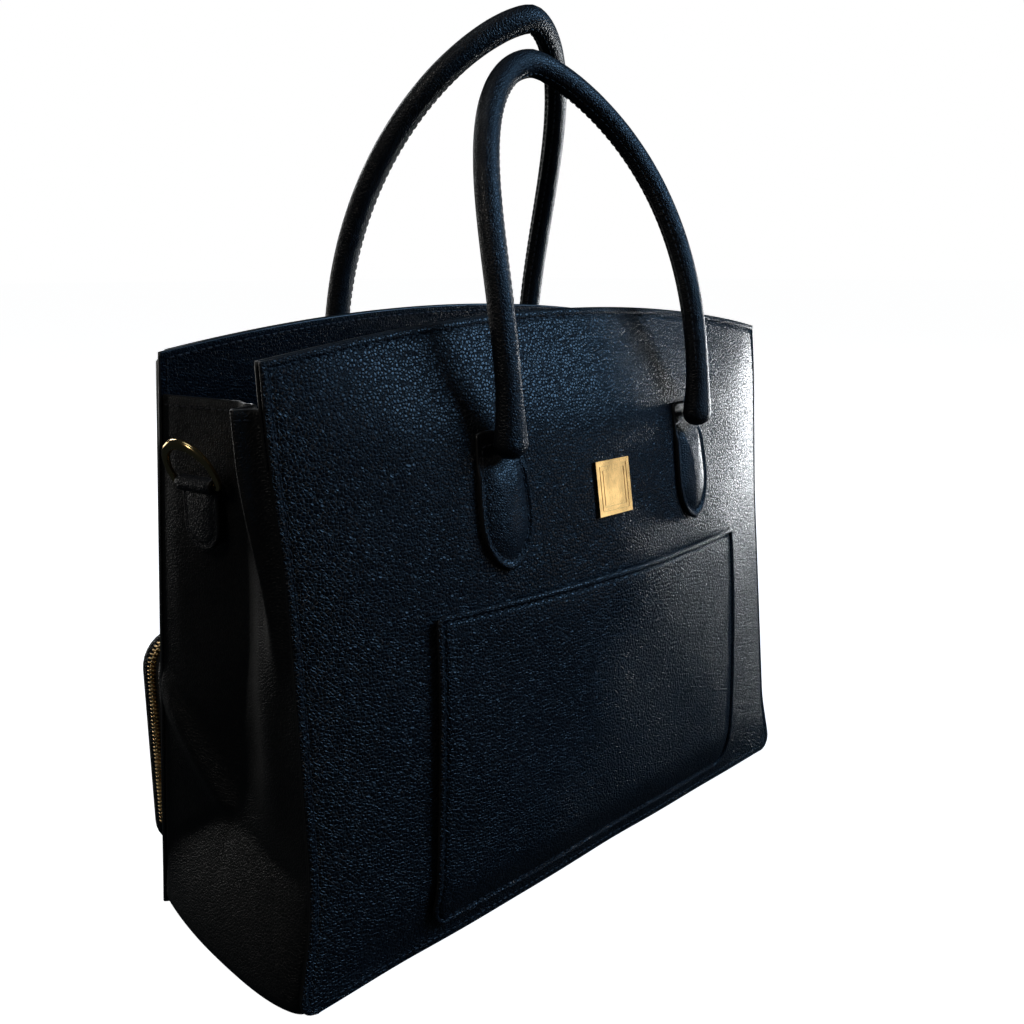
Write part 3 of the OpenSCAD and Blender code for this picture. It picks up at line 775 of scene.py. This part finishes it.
def paint(node, material, bevel_mm=0.0):
    """Gives a CAD node its material, and rounds its edges a little."""
    piece = NODES[node]
    piece.data.materials.clear()
    piece.data.materials.append(material)
    piece.data.polygons.foreach_set("material_index", [0] * len(piece.data.polygons))
    if bevel_mm:
        bevel = piece.modifiers.new("worn_edges", "BEVEL")
        bevel.width = bevel_mm * MM
        bevel.segments = 3
        bevel.limit_method = "ANGLE"
        bevel.angle_limit = math.radians(35)


# ---- pocket, tabs and plate

def add_pocket():
    low, high = box_mm("front_pocket")
    z0, z1 = float(low[2]), float(high[2])
    half_low, half_high, low_r, high_r, thick, gape = 138.0, 131.0, 16.0, 4.0, 2.0, 2.6
    height = z1 - z0
    rows = np.concatenate([low_r * (1 - np.cos(np.linspace(0, math.pi / 2, 14)))[:-1],
                           np.linspace(low_r, height - EDGE_STEPS[-1], 40), height - EDGE_STEPS[-2::-1]])
    u, rise = np.meshgrid(columns_across(half_low, 60), rows)
    half = half_low + (half_high - half_low) * rise / height
    x = u * (half - corner_cut(rise, low_r) - corner_cut(height - rise, high_r))
    edge = np.minimum((1 - np.abs(u)) * half, np.minimum(rise, height - rise))
    lift = thick + 0.5 + gape * (1 - u ** 2) * np.clip(rise / height, 0, 1) ** 5
    lift += 1.9 * sewn_edge(edge) + 0.5 * smooth_step((edge - 5) / 9)
    sheet_piece("pocket_leather", front_point(x, z0 + rise, lift), thick, replaces=["front_pocket"])

    inset = 4.0
    turn = np.radians(np.linspace(0, 90, 8))
    across = np.linspace(-half_low + low_r, half_low - low_r, 60)[1:-1]
    side = np.linspace(low_r, height - 6, 34)
    side_x = half_low + (half_high - half_low) * side / height - inset
    bend_x = half_low - low_r + (low_r - inset) * np.sin(turn)
    bend_z = low_r - (low_r - inset) * np.cos(turn)
    px = np.concatenate([-side_x[::-1], -bend_x[::-1], across, bend_x, side_x])
    pz = np.concatenate([side[::-1], bend_z[::-1], np.full(len(across), inset), bend_z, side])
    stitches("pocket_stitches", front_point(px, z0 + pz, thick - 0.55), FORWARD)
    hem = np.linspace(-half_high + 5, half_high - 5, 60)
    hem_gape = gape * (1 - (hem / half_high) ** 2) * ((height - 4) / height) ** 5
    stitches("pocket_hem_stitches", front_point(hem, z1 - 4.0, thick - 0.55 + hem_gape), FORWARD)


PATCH_RINGS = (0.02, 0.2, 0.4, 0.55, 0.66, 0.74, 0.8, 0.84, 0.87, 0.9, 0.94, 0.975, 1.0)
PATCH_SEAM = 0.84               # share from a patch's middle to its edge where it is sewn


def padded_patch(node, outline, heights, place, middle=None):
    """A padded shape stitched on a surface. outline is (a, b) points; place(a, b, height) gives
    the point in mm; heights(share, b) is its height from the middle (share 0) to the edge (1)."""
    outline = np.asarray(outline, float)
    middle = (outline.max(0) + outline.min(0)) / 2 if middle is None else np.asarray(middle, float)

    def ring(share, lift=0.0):
        a, b = (middle + (outline - middle) * share).T
        return place(a, b, heights(share, b) + lift)

    grid = np.array([ring(share) for share in PATCH_RINGS] + [place(*outline.T, np.zeros(len(outline)))])
    rows, columns = grid.shape[:2]
    kinds = [0] * (columns * (rows - 3)) + [1] * (columns * 2) + [0, 1]
    patch = make(f"{node}_leather", grid.reshape(-1, 3), capped_faces(rows, columns), [TRIM_LEATHER, EDGE],
                 "bag", kinds, [node])
    path = ring(PATCH_SEAM, 0.1)
    outward = ring(PATCH_SEAM, 1.1) - path
    stitches(f"{node}_leather_stitches", path, outward, pitch=3.6, closed=True, length=2.7)


def leaf_outline(width, top, tip):
    """A leaf in (x, z) about x = 0: nearly straight sides above, drawn to a point below."""
    t = np.linspace(0, 1, 30)
    low = np.clip((t - 0.62) / 0.38, 0, 1)
    half = width / 2 * np.where(t < 0.62, 0.80 + 0.20 * np.sin(math.pi / 2 * t / 0.62), (1 - low ** 2) ** 0.6)
    right = np.stack([half, top + (tip - top) * t], -1)
    left = right[::-1] * (-1, 1)
    top_edge = [(-width * 0.3, top + 1.0), (0, top + 1.3), (width * 0.3, top + 1.0)]
    return np.concatenate([top_edge, right, left[1:]])


def leaf_height(share, z):
    """Thin behind the handle's end, padded below it, with a flat sewn border."""
    low = smooth_step((FOOT_Z - 9.5 - z) / 7)
    pad = 3.2 * (1 - np.clip(share / 0.78, 0, 1) ** 2.4) * (share < 0.78)
    border = 1.0 * ridge(share - 0.95, 0.045) - 0.5 * ridge(share - 0.83, 0.03)
    return 1.5 + low * (0.7 + pad + border)


def add_tabs():
    low, high = box_mm("front_left_tab")
    foot_x = float(-(low[0] + high[0]) / 2)
    outline = leaf_outline(34.0, FOOT_Z + 5, float(low[2]))
    for face, surface in (("front", front_point), ("back", back_point)):
        for side, centre in (("left", -foot_x), ("right", foot_x)):
            def place(x, z, height):
                return surface(x + centre, z, height)
            padded_patch(f"{face}_{side}_tab", outline, leaf_height, place, middle=(0, 228))
    paint("name_plate", GOLD, bevel_mm=0.35)


# ---- handles

FOOT_X, FOOT_Z = 82.0, 266.0
KNUCKLE_R, KNUCKLE_W = 7.8, 9.8
ROLL_R, ROLL_W = 6.5, 6.9
FOOT_OUT = 9.2                  # a handle's foot from its panel
FRONT_FOOT_Y = float(bowed_y(FOOT_X, FOOT_Z) - FOOT_OUT)
BACK_FOOT_Y = float(half_d(FOOT_Z) + FOOT_OUT)
ARCHES = {   # rise, sideways lean, even lean in, bend in towards the top, and two squareness powers
    "front_handle": ((195, -10, -8, 60, 1.25, 0.55), 1, FRONT_FOOT_Y),
    "back_handle": ((219, -5, -10, 95, 1.30, 0.58), -1, BACK_FOOT_Y),
}


def arch_path(form, inward, foot_y):
    rise, side, even, bend, width_power, crown_power = form
    a = math.pi * (0.5 - 0.5 * np.cos(np.linspace(0, math.pi, 6000)))
    u = np.sin(a.clip(0, math.pi)) ** crown_power
    c = np.cos(a)
    path = np.stack([-FOOT_X * np.sign(c) * np.abs(c) ** width_power + side * u,
                     foot_y + inward * (even * u + bend * u * u), FOOT_Z + rise * u], -1)
    arch, _ = resample(path, 3.2)
    turn = np.radians(np.linspace(88, 0, 9))
    left = np.stack([np.full(9, path[0, 0]), np.full(9, foot_y), FOOT_Z - KNUCKLE_R * np.sin(turn)], -1)
    right = left[::-1].copy()
    right[:, 0] = path[-1, 0]
    return np.concatenate([left, arch, right]), np.cos(turn)


def add_handle(name, form, inward, foot_y):
    path, closing = arch_path(form, inward, foot_y)
    count, ends = len(path), len(closing)
    rise = np.clip(path[:, 2] - FOOT_Z, 0, None)
    swollen = np.exp(-(rise / 15) ** 1.5)
    wide = ROLL_W + (KNUCKLE_W - ROLL_W) * swollen
    deep = ROLL_R + (KNUCKLE_R - ROLL_R) * swollen
    for k in range(ends):
        wide[k] = wide[-1 - k] = KNUCKLE_W * closing[k] ** 0.85 + 0.05
        deep[k] = deep[-1 - k] = KNUCKLE_R * closing[k] + 0.05
    angle = np.linspace(0, 2 * math.pi, 32, endpoint=False)
    off = np.abs(angle - math.pi)
    seam = 1 + 0.13 * np.exp(-(off / 0.16) ** 2) - 0.05 * np.exp(-((off - 0.34) / 0.1) ** 2)
    wrinkle = rng.normal(0, 1, (count, 4))

    def section(k):
        seam_here = 1 + (seam - 1) * min(1.0, rise[k] / 25)
        wave = 1 + 0.006 * sum(wrinkle[k, i] * 0.4 * np.cos((i + 1) * angle) for i in range(2))
        return np.stack([wide[k] * np.cos(angle), deep[k] * np.sin(angle)], -1) * (seam_here * wave)[:, None]

    points, faces = tube(path, section)
    roll = make(f"{name}_leather", points, faces, [HANDLE_LEATHER], name, replaces=[name])
    _, across, normal = path_frames(path, np.broadcast_to(BACKWARD, path.shape))
    body = slice(ends + 8, count - ends - 8)
    for row, turn in (("a", 2.62), ("b", -2.62)):
        out = across * math.cos(turn) + normal * math.sin(turn)
        line = path + across * (wide * math.cos(turn))[:, None] + normal * (deep * math.sin(turn))[:, None]
        stitches(f"{name}_stitches_{row}", line[body], out[body], name, pitch=4.2, length=3.0)
    paint(f"{name}_core", LINING)


# ---- rings

RING_X, RING_Y, RING_Z = 203.4, 12.0, 250.0
RING_TURN, RING_R, RING_RISE = math.radians(-8), 17.0, 6.0
BAR_HALF = math.sqrt(RING_R ** 2 - RING_RISE ** 2)


def from_ring(side, points, swing=0.0):
    """Points (out, along the bar, up) at a ring's bar, swung out by an angle in degrees."""
    points = np.asarray(points, float)
    a = math.radians(swing)
    out = points[..., 0] * math.cos(a) + points[..., 2] * math.sin(a)
    up = -points[..., 0] * math.sin(a) + points[..., 2] * math.cos(a)
    along = points[..., 1]
    x = out * math.cos(RING_TURN) - along * math.sin(RING_TURN)
    y = out * math.sin(RING_TURN) + along * math.cos(RING_TURN)
    return np.stack([side * (RING_X + x), RING_Y + y, RING_Z + up], -1)


def add_ring(side, name, swing):
    straight, bent, wire = 14, 54, 1.95
    bar = np.stack([np.zeros(straight), np.linspace(-BAR_HALF, BAR_HALF, straight), np.zeros(straight)], -1)
    opening = math.asin(RING_RISE / RING_R)
    a = np.linspace(-opening, math.pi + opening, bent + 2)[1:-1]
    bow = np.stack([np.zeros(bent), RING_R * np.cos(a), RING_RISE + RING_R * np.sin(a)], -1)
    path = from_ring(side, np.concatenate([bar, bow]), swing)
    thick = np.concatenate([np.full(straight, wire), wire + 0.9 * np.sin(np.clip(a, 0, math.pi)) ** 2])
    face = from_ring(side, (1, 0, 0), swing) - from_ring(side, (0, 0, 0), swing)
    turn = np.linspace(0, 2 * math.pi, 18, endpoint=False)
    profile = np.stack([np.cos(turn), 0.86 * np.sin(turn)], -1)
    points, faces = tube(path, lambda k: thick[k] * profile, face, closed=True)
    make(f"{name}_gold", points, faces, [GOLD], name.replace("_d", ""), replaces=[name])


def add_ring_tab(side, name):
    half, drop, base = 12.25, 33.0, -4.1
    turn = np.radians(np.linspace(0, -180, 25))
    bottom = np.stack([half * np.cos(turn), half - drop + half * np.sin(turn)], -1)
    right = np.array([(half / 2, -0.4), (half, -1.0), (half, -7.0), (half, -13.0)])
    left = right[::-1] * (-1, 1)
    outline = np.concatenate([left[2:], right, bottom, left[:2]])

    def place(along, up, height):
        return from_ring(side, np.stack(np.broadcast_arrays(base + height, along, up), -1))

    def heights(share, up):
        pad = 0.7 * (1 - np.clip(share / 0.78, 0, 1) ** 3) - 0.4 * ridge(share - PATCH_SEAM, 0.03)
        return np.full_like(up, 3.6 + pad)

    padded_patch(name, outline, heights, place)
    a, along = np.meshgrid(np.linspace(0, 2 * math.pi, 30, endpoint=False), np.linspace(-half, half, 9))
    loop = np.stack([4.1 * np.cos(a), along, 4.1 * np.sin(a)], -1)
    loop = loop if side > 0 else loop[:, ::-1]
    sheet_piece(f"{name}_loop", from_ring(side, loop)[:, ::-1], 1.8, TRIM_LEATHER, wrap=True)


# ---- cooler pocket and its flap

COOLER_Y0 = float(box_mm("cooler_cover")[0][1])
WALL_Y1 = float(box_mm("cooler_wall")[1][1])
HINGE_Y, HINGE_Z, HINGE_HALF = 84.4, float(box_mm("cooler_wall")[0][2]), 188.0
ZIP_END_Z = float(box_mm("body_zip_teeth")[0][2])
FLAP_Y1 = float(box_mm("flap_panel")[1][1])


TOOTH = (       # along the tooth, half its width, half its height
    (-1.9, 0.42, 1.0), (-1.7, 0.52, 1.25), (-0.2, 0.50, 1.3), (0.5, 0.60, 1.35), (1.2, 0.74, 1.3),
    (1.65, 0.60, 1.05), (1.85, 0.36, 0.7),
)


def capped(profile, closing, middle_y):
    """Sweep round the outline and then close it: closing is (share, y) rings towards the middle."""
    rows = list(outline_sweep(profile))
    loop = rows[-1]
    rows += [shrunk(loop, share, y) for share, y in closing]
    rows.append(shrunk(loop, 0.003, middle_y))
    return np.array(rows)


def add_cooler():
    wall = outline_sweep([(0, 60), (0.2, 66), (0.5, 70), (0.6, 73), (0.2, WALL_Y1 - 0.4)])
    sheet_piece("cooler_wall_leather", wall, 2.0, replaces=["cooler_wall"], wrap=True)
    hem, outward = outline_points(0.62)
    stitches("cooler_wall_stitches", upright(hem, WALL_Y1 - 3.4), upright(outward, 0), closed=True)

    depth = 66 - COOLER_Y0
    sides = [(-0.9 - 7.5 * (1 - t) ** 1.3, COOLER_Y0 + 3 + depth * t) for t in np.linspace(1, 0, 12)]
    closing = [(s, COOLER_Y0 + 0.6 + 1.4 * s ** 6) for s in np.linspace(0.985, 0.06, 26)]
    cover = capped(sides, closing, COOLER_Y0 + 0.6)
    sheet_piece("cooler_cover_cloth", cover[:, ::-1], 1.0, LINING, ["cooler_cover"], wrap=True)

    floor_y = COOLER_Y0 + 6.0
    turn_over = [(-1.9, 73.0), (-2.1, 75.6), (-3.0, 76.8), (-4.4, 76.7), (-5.3, 75.4), (-5.6, 73.0)]
    depth = 71 - floor_y
    sides = [(-5.7 - 8.0 * (1 - t) ** 1.2, floor_y + depth * t) for t in np.linspace(1, 0.03, 24)]
    closing = [(s, floor_y - 0.8 + 1.2 * s ** 8) for s in np.linspace(0.98, 0.03, 44)]
    foil = capped(turn_over + sides, closing, floor_y - 0.8)
    foil[6:] = crinkled(foil[6:], 1.1, 24.0)
    nodes = ["cooler_foil", "cooler_insulation"]
    sheet_piece("cooler_foil_lining", foil, 0.6, FOIL, nodes, wrap=True, rim=0.2)


def crinkled(grid, depth, cell):
    """Pushes a grid in and out like creased film, folded along sharp lines."""
    push = np.empty(grid.shape[:2])
    for index in np.ndindex(push.shape):
        at = grid[index] / cell
        sharp, fine = [1 - abs(noise.noise(Vector(p))) * 3 for p in (at, at * 2.7 + (9, 0, 0))]
        push[index] = depth * (0.62 * sharp + 0.38 * fine)
    return grid + grid_normals(grid, wrap=True) * push[..., None]


def tape_grid(y0, y_zip, y_seam):
    """Zip tape round the whole outline, wider below the zip where two tapes meet."""
    points, _ = outline_points(-1.4)
    end = y_zip + (y_seam - y_zip) * smooth_step((ZIP_END_Z + 1 - points[:, 1]) / 3)
    return np.array([upright(points, y0 + (end - y0) * t) for t in np.linspace(0, 1, 4)])


def tooth():
    """A zip tooth: narrow where it holds the tape, wide at its head. x runs across the zip."""
    a = 2 * math.pi * (np.arange(8) + 0.5) / 8
    y, z = [1.08 * np.sign(v) * np.abs(v) ** 0.45 for v in (np.cos(a), np.sin(a))]
    rings = [np.stack([np.full(8, x), y * half, z * high], -1) for x, half, high in TOOTH]
    return np.concatenate(rings), [f[::-1] for f in capped_faces(len(rings), 8)]


def add_teeth(part, body, y, towards, shift):
    """One side's teeth: every second place along the zip, starting at shift."""
    points, normals = outline_points(-1.0, arch=True, step=1.0)
    places, index = resample(upright(points, y), 1.15)
    places, index = places[shift::2], index[shift::2]
    normal = unit(pick(upright(normals, 0), index))
    tangent = np.broadcast_to((0.0, towards, 0.0), normal.shape)
    points, faces = scatter(*tooth(), places, tangent, np.cross(normal, tangent), normal)
    make(f"{part}_teeth", points, faces, [ZIP_GOLD], body, replaces=[f"{part}_zip_teeth"])


def add_zip():
    tape = tape_grid(WALL_Y1 - 1.5, 82.4, HINGE_Y - 0.15)
    sheet_piece("body_tape", tape, 0.8, TAPE, ["body_zip_tape"], wrap=True)
    tape = tape_grid(89.2, 86.4, HINGE_Y + 0.15)
    sheet_piece("flap_tape", tape[::-1], 0.8, TAPE, ["flap_zip_tape"], "cooler_flap", wrap=True)
    add_teeth("body", "bag", 82.9, 1.0, 0)
    add_teeth("flap", "cooler_flap", 85.9, -1.0, 1)
    for node in ("zip_slider", "zip_pull"):
        paint(node, GOLD, bevel_mm=0.5)


def add_flap():
    edge = [(-1.2, 88.4), (-0.1, 89.2), (0.25, 91.0), (0.1, 92.8), (-0.9, 93.8), (-2.6, 94.0), (-4.0, 93.75),
            (-5.0, 93.7), (-6.2, 94.1), (-8.5, 94.7)]
    closing = [(s, FLAP_Y1 + 0.7 + 1.3 * (1 - s ** 5)) for s in np.linspace(0.97, 0.03, 40)]
    outer = capped(edge, closing, FLAP_Y1 + 2.0)
    nodes = ["flap_panel", "flap_border", "flap_foam"]
    flap = sheet_piece("flap_leather", outer, 1.8, LEATHER, nodes, "cooler_flap", wrap=True)
    line = upright(outline_points(-4.6)[0], FLAP_Y1 - 0.3)
    stitches("flap_stitches", line, BACKWARD, "cooler_flap", closed=True)
    edge = [(-1.4, 88.9), (-1.6, 88.2), (-2.6, 87.8), (-3.8, 88.1), (-5.5, 87.7)]
    closing = [(s, 87.7 - 0.6 * (1 - s ** 5)) for s in np.linspace(0.97, 0.03, 30)]
    inner = capped(edge, closing, 87.1)
    sheet_piece("flap_film", inner[:, ::-1], 0.8, FILM, ["flap_lining"], "cooler_flap", wrap=True)

    x, y = np.meshgrid(np.linspace(-HINGE_HALF, HINGE_HALF, 90), np.linspace(71.0, 91.5, 24))
    sag = 1.0 * ridge(y - HINGE_Y, 4.5)
    points, faces, _ = shell(np.stack([x, y, HINGE_Z - 0.6 - sag], -1)[:, ::-1], 0.9)
    hinge = make("flap_hinge_leather", points, faces, [TRIM_LEATHER], None, replaces=["flap_hinge"])
    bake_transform(hinge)


# ---- trolley band

def add_trolley_band():
    low, high = box_mm("trolley_band")
    end, flat, thick, inset = float(high[0]), 112.0, 2.0, 3.2

    def lift(x):
        return 10.0 * smooth_step((flat - np.abs(x)) / 60) + thick + 0.1

    x, z = np.meshgrid(np.linspace(end, -end, 121), np.linspace(float(low[2]), float(high[2]), 15))
    swell = 0.4 * np.sin(np.clip((z - low[2]) / (high[2] - low[2]), 0, 1) * math.pi)
    band = back_point(x, z, lift(x) + swell)
    sheet_piece("trolley_band_leather", band, thick, TRIM_LEATHER, ["trolley_band"])
    z0, z1 = float(low[2]) + inset, float(high[2]) - inset
    across = np.linspace(end - 3, -end + 3, 90)
    for row, level in (("low", z0), ("high", z1)):
        stitches(f"trolley_stitches_{row}", back_point(across, level, lift(across) + 0.15), BACKWARD)
    for side, name in ((-1, "left"), (1, "right")):
        a, b = side * (end - inset), side * (flat + 5)
        x, z = through([(a, z0 + 1), (a, z1 - 1), (b, z0 + 1), (b, z1 - 1), (a, z0 + 1)], 12).T
        stitches(f"trolley_box_{name}", back_point(x, z, lift(x) + 0.35), BACKWARD)


# ---- shoulder strap, folded

RIGHT_RING_ANGLE = 138.0
HOOK_FOOT = (15.39, 0.0, -42.74)         # the upper hook's collar from the ring's bar
STRAP_W, HANK_T, HANK_TOP, HANK_END = 38.0, 16.0, -43.0, -145.5
TIE_UP = -94.0


def from_hook(points):
    return from_ring(1, np.asarray(points, float) + HOOK_FOOT)


def ribbon(name, line, width, thick, material, node):
    """A ribbon as wide as width along the bar, following line of (out, up) points."""
    along = np.linspace(-width / 2, width / 2, 9)
    grid = np.array([[(out, y, up) for y in along] for out, up in line])
    return sheet_piece(name, from_hook(grid), thick, material, [node], "strap")


def half_turn(x0, x1, z, up):
    middle, r = (x0 + x1) / 2, (x1 - x0) / 2
    return [(middle - r * math.cos(t), z + up * abs(r) * math.sin(t)) for t in np.linspace(0, math.pi, 7)]


def rounded_loop(half_x, half_y, r):
    """A rounded rectangle of (x, y) points, anticlockwise."""
    arcs = []
    for k, (side_x, side_y) in enumerate(((1, 1), (-1, 1), (-1, -1), (1, -1))):
        a = np.radians(np.linspace(90 * k, 90 * k + 90, 8))
        x, y = side_x * (half_x - r), side_y * (half_y - r)
        arcs.append(np.stack([x + r * np.cos(a), y + r * np.sin(a)], -1))
    loop = []
    for arc, after in zip(arcs, arcs[1:] + arcs[:1]):
        loop += [arc, arc[-1] + (after[0] - arc[-1]) * np.linspace(0.1, 0.9, 7)[:, None]]
    return np.concatenate(loop)


def at_level(loop, z):
    return np.column_stack([loop, np.full(len(loop), z)])


def add_hank():
    layers, pitch = 11, 1.42
    places = [((layers - 1) / 2 - k) * pitch for k in range(layers)]
    line = [(0.0, -24.0), (0.0, -34.0), (0.3, -37.0), (2.2, -39.4), (5.2, -41.0), (places[0], -45.0)]
    for k, place in enumerate(places):
        down = k % 2 == 0
        top = HANK_TOP - 3.2 - 1.6 * rng.random()
        low = HANK_END + 2.6 + 2.0 * rng.random()
        start, end = line[-1][1], low if down else top
        bow = 0.25 * math.sin(2.1 * k)
        line += [(place + bow * math.sin(math.pi * t), start + (end - start) * t)
                 for t in np.linspace(0.06, 1, 14)]
        if k < layers - 1:
            line += half_turn(place, places[k + 1], end, -1 if down else 1)[1:]
    line += [(places[-1], HANK_END - 0.5), (places[-1] + 2.6, HANK_END - 2.4), (-2.0, HANK_END - 3.6),
             (0.0, HANK_END - 5.5), (0.0, HANK_END - 6.6)]
    ribbon("strap_webbing", line, STRAP_W, 1.15, WEBBING, "strap_hank")

    loop = rounded_loop(HANK_T / 2 + 1.2, STRAP_W / 2 + 1.6, 2.2)
    rows = [at_level(loop * (1 + 0.02 * (1 - t * t)), TIE_UP + 7 * t) for t in np.linspace(-1, 1, 9)]
    sheet_piece("strap_tie_band", from_hook(rows), 1.3, WEBBING, ["strap_tie"], "strap", wrap=True)
    for row, level in (("low", TIE_UP - 5.4), ("high", TIE_UP + 5.4)):
        path = from_hook(at_level(loop * 1.01, level))
        stitches(f"tie_stitches_{row}", path, path - from_hook((0, 0, level)), "strap", 3.4, True, 0.3, 2.4)


def add_strap_tab(end, bar_z, end_z):
    """A leather tab looped round an eye's bar; its two leaves get stitches onto the webbing only where the
    tab reaches more than 15 mm from the bar.
    """
    up = 1 if end_z < bar_z else -1
    leaf, bar, half_seam = 3.1, 3.9, 10.4
    turn = np.radians(np.linspace(-28, 208, 30))
    loop = [(bar * math.cos(a), bar_z + up * bar * math.sin(a)) for a in turn]
    down = [(leaf, end_z + (bar_z - up * 5.5 - end_z) * t) for t in np.linspace(0, 1, 8)]
    line = down + loop + [(-x, z) for x, z in down[::-1]]
    ribbon(f"{end}_tab_leather", line[::-up], 25.0, 1.7, TRIM_LEATHER, f"{end}_strap_tab")
    if abs(end_z - bar_z) > 15:
        near, far = bar_z - up * 8.0, end_z + up * 2.2
        corners = [(-1, near), (1, near), (1, far), (-1, far), (-1, near)]
        path = through([(half_seam * y, z) for y, z in corners], 8)
        for face, side in (("out", 1), ("in", -1)):
            place = from_hook(np.column_stack([np.full(len(path), side * (leaf + 0.1)), path]))
            outward = from_hook((side, 0, 0)) - from_hook((0, 0, 0))
            stitches(f"{end}_tab_leather_stitches_{face}", place, outward, "strap", 3.2, length=2.3)


def add_strap():
    add_hank()
    add_strap_tab("upper", -16.0, -41.5)
    add_strap_tab("lower", -156.0, -147.5)
    for end in ("upper", "lower"):
        for part in ("hook", "hook_gate", "hook_eye"):
            paint(f"{end}_{part}", GOLD, bevel_mm=0.45)


# ---- the whole bag

add_front()
add_back()
add_gusset(-1, "left_gusset")
add_gusset(1, "right_gusset")
add_base()
add_pocket()
add_tabs()
for handle, (form, inward, foot_y) in ARCHES.items():
    add_handle(handle, form, inward, foot_y)
add_ring(-1, "left_d_ring", 25)
add_ring(1, "right_d_ring", RIGHT_RING_ANGLE)
add_ring_tab(-1, "left_ring_tab")
add_ring_tab(1, "right_ring_tab")
add_cooler()
add_zip()
add_flap()
add_trolley_band()
add_strap()

add_camera()
add_area_light("right_softbox", (2.6, 0.15, 0.05), (0.1, -0.05, 0.05), (0.6, 0.6), 37, (0.93, 0.97, 1))
add_area_light("front_softbox", (1.5, -1.6, 1.5), (-0.05, -0.08, 0.2), (1.2, 1.2), 36, (0.31, 0.60, 1))
add_area_light("plate_card", (1.35, -1.45, 0.12), (0, -0.1, 0.23), (0.5, 0.35), 0.9, (1, 0.96, 0.9))
add_area_light("ring_card", (-1.5, -0.1, 1.5), (-0.22, 0, 0.26), (0.4, 0.4), 3.4, (1, 0.94, 0.86))
add_area_light("top_softbox", (-0.4, 0.3, 2.4), (0, 0, 0.3), (0.8, 0.8), 3, (0.8, 0.9, 1))
add_area_light("rim_softbox", (0.5, 2.4, 1.3), (0, 0, 0.3), (0.8, 0.8), 14, (0.95, 0.98, 1))
add_area_light("back_softbox", (-0.6, 2.6, 0.35), (-0.15, 0, 0.15), (0.8, 0.8), 6, (1, 0.98, 0.94))
add_world()
add_floor()
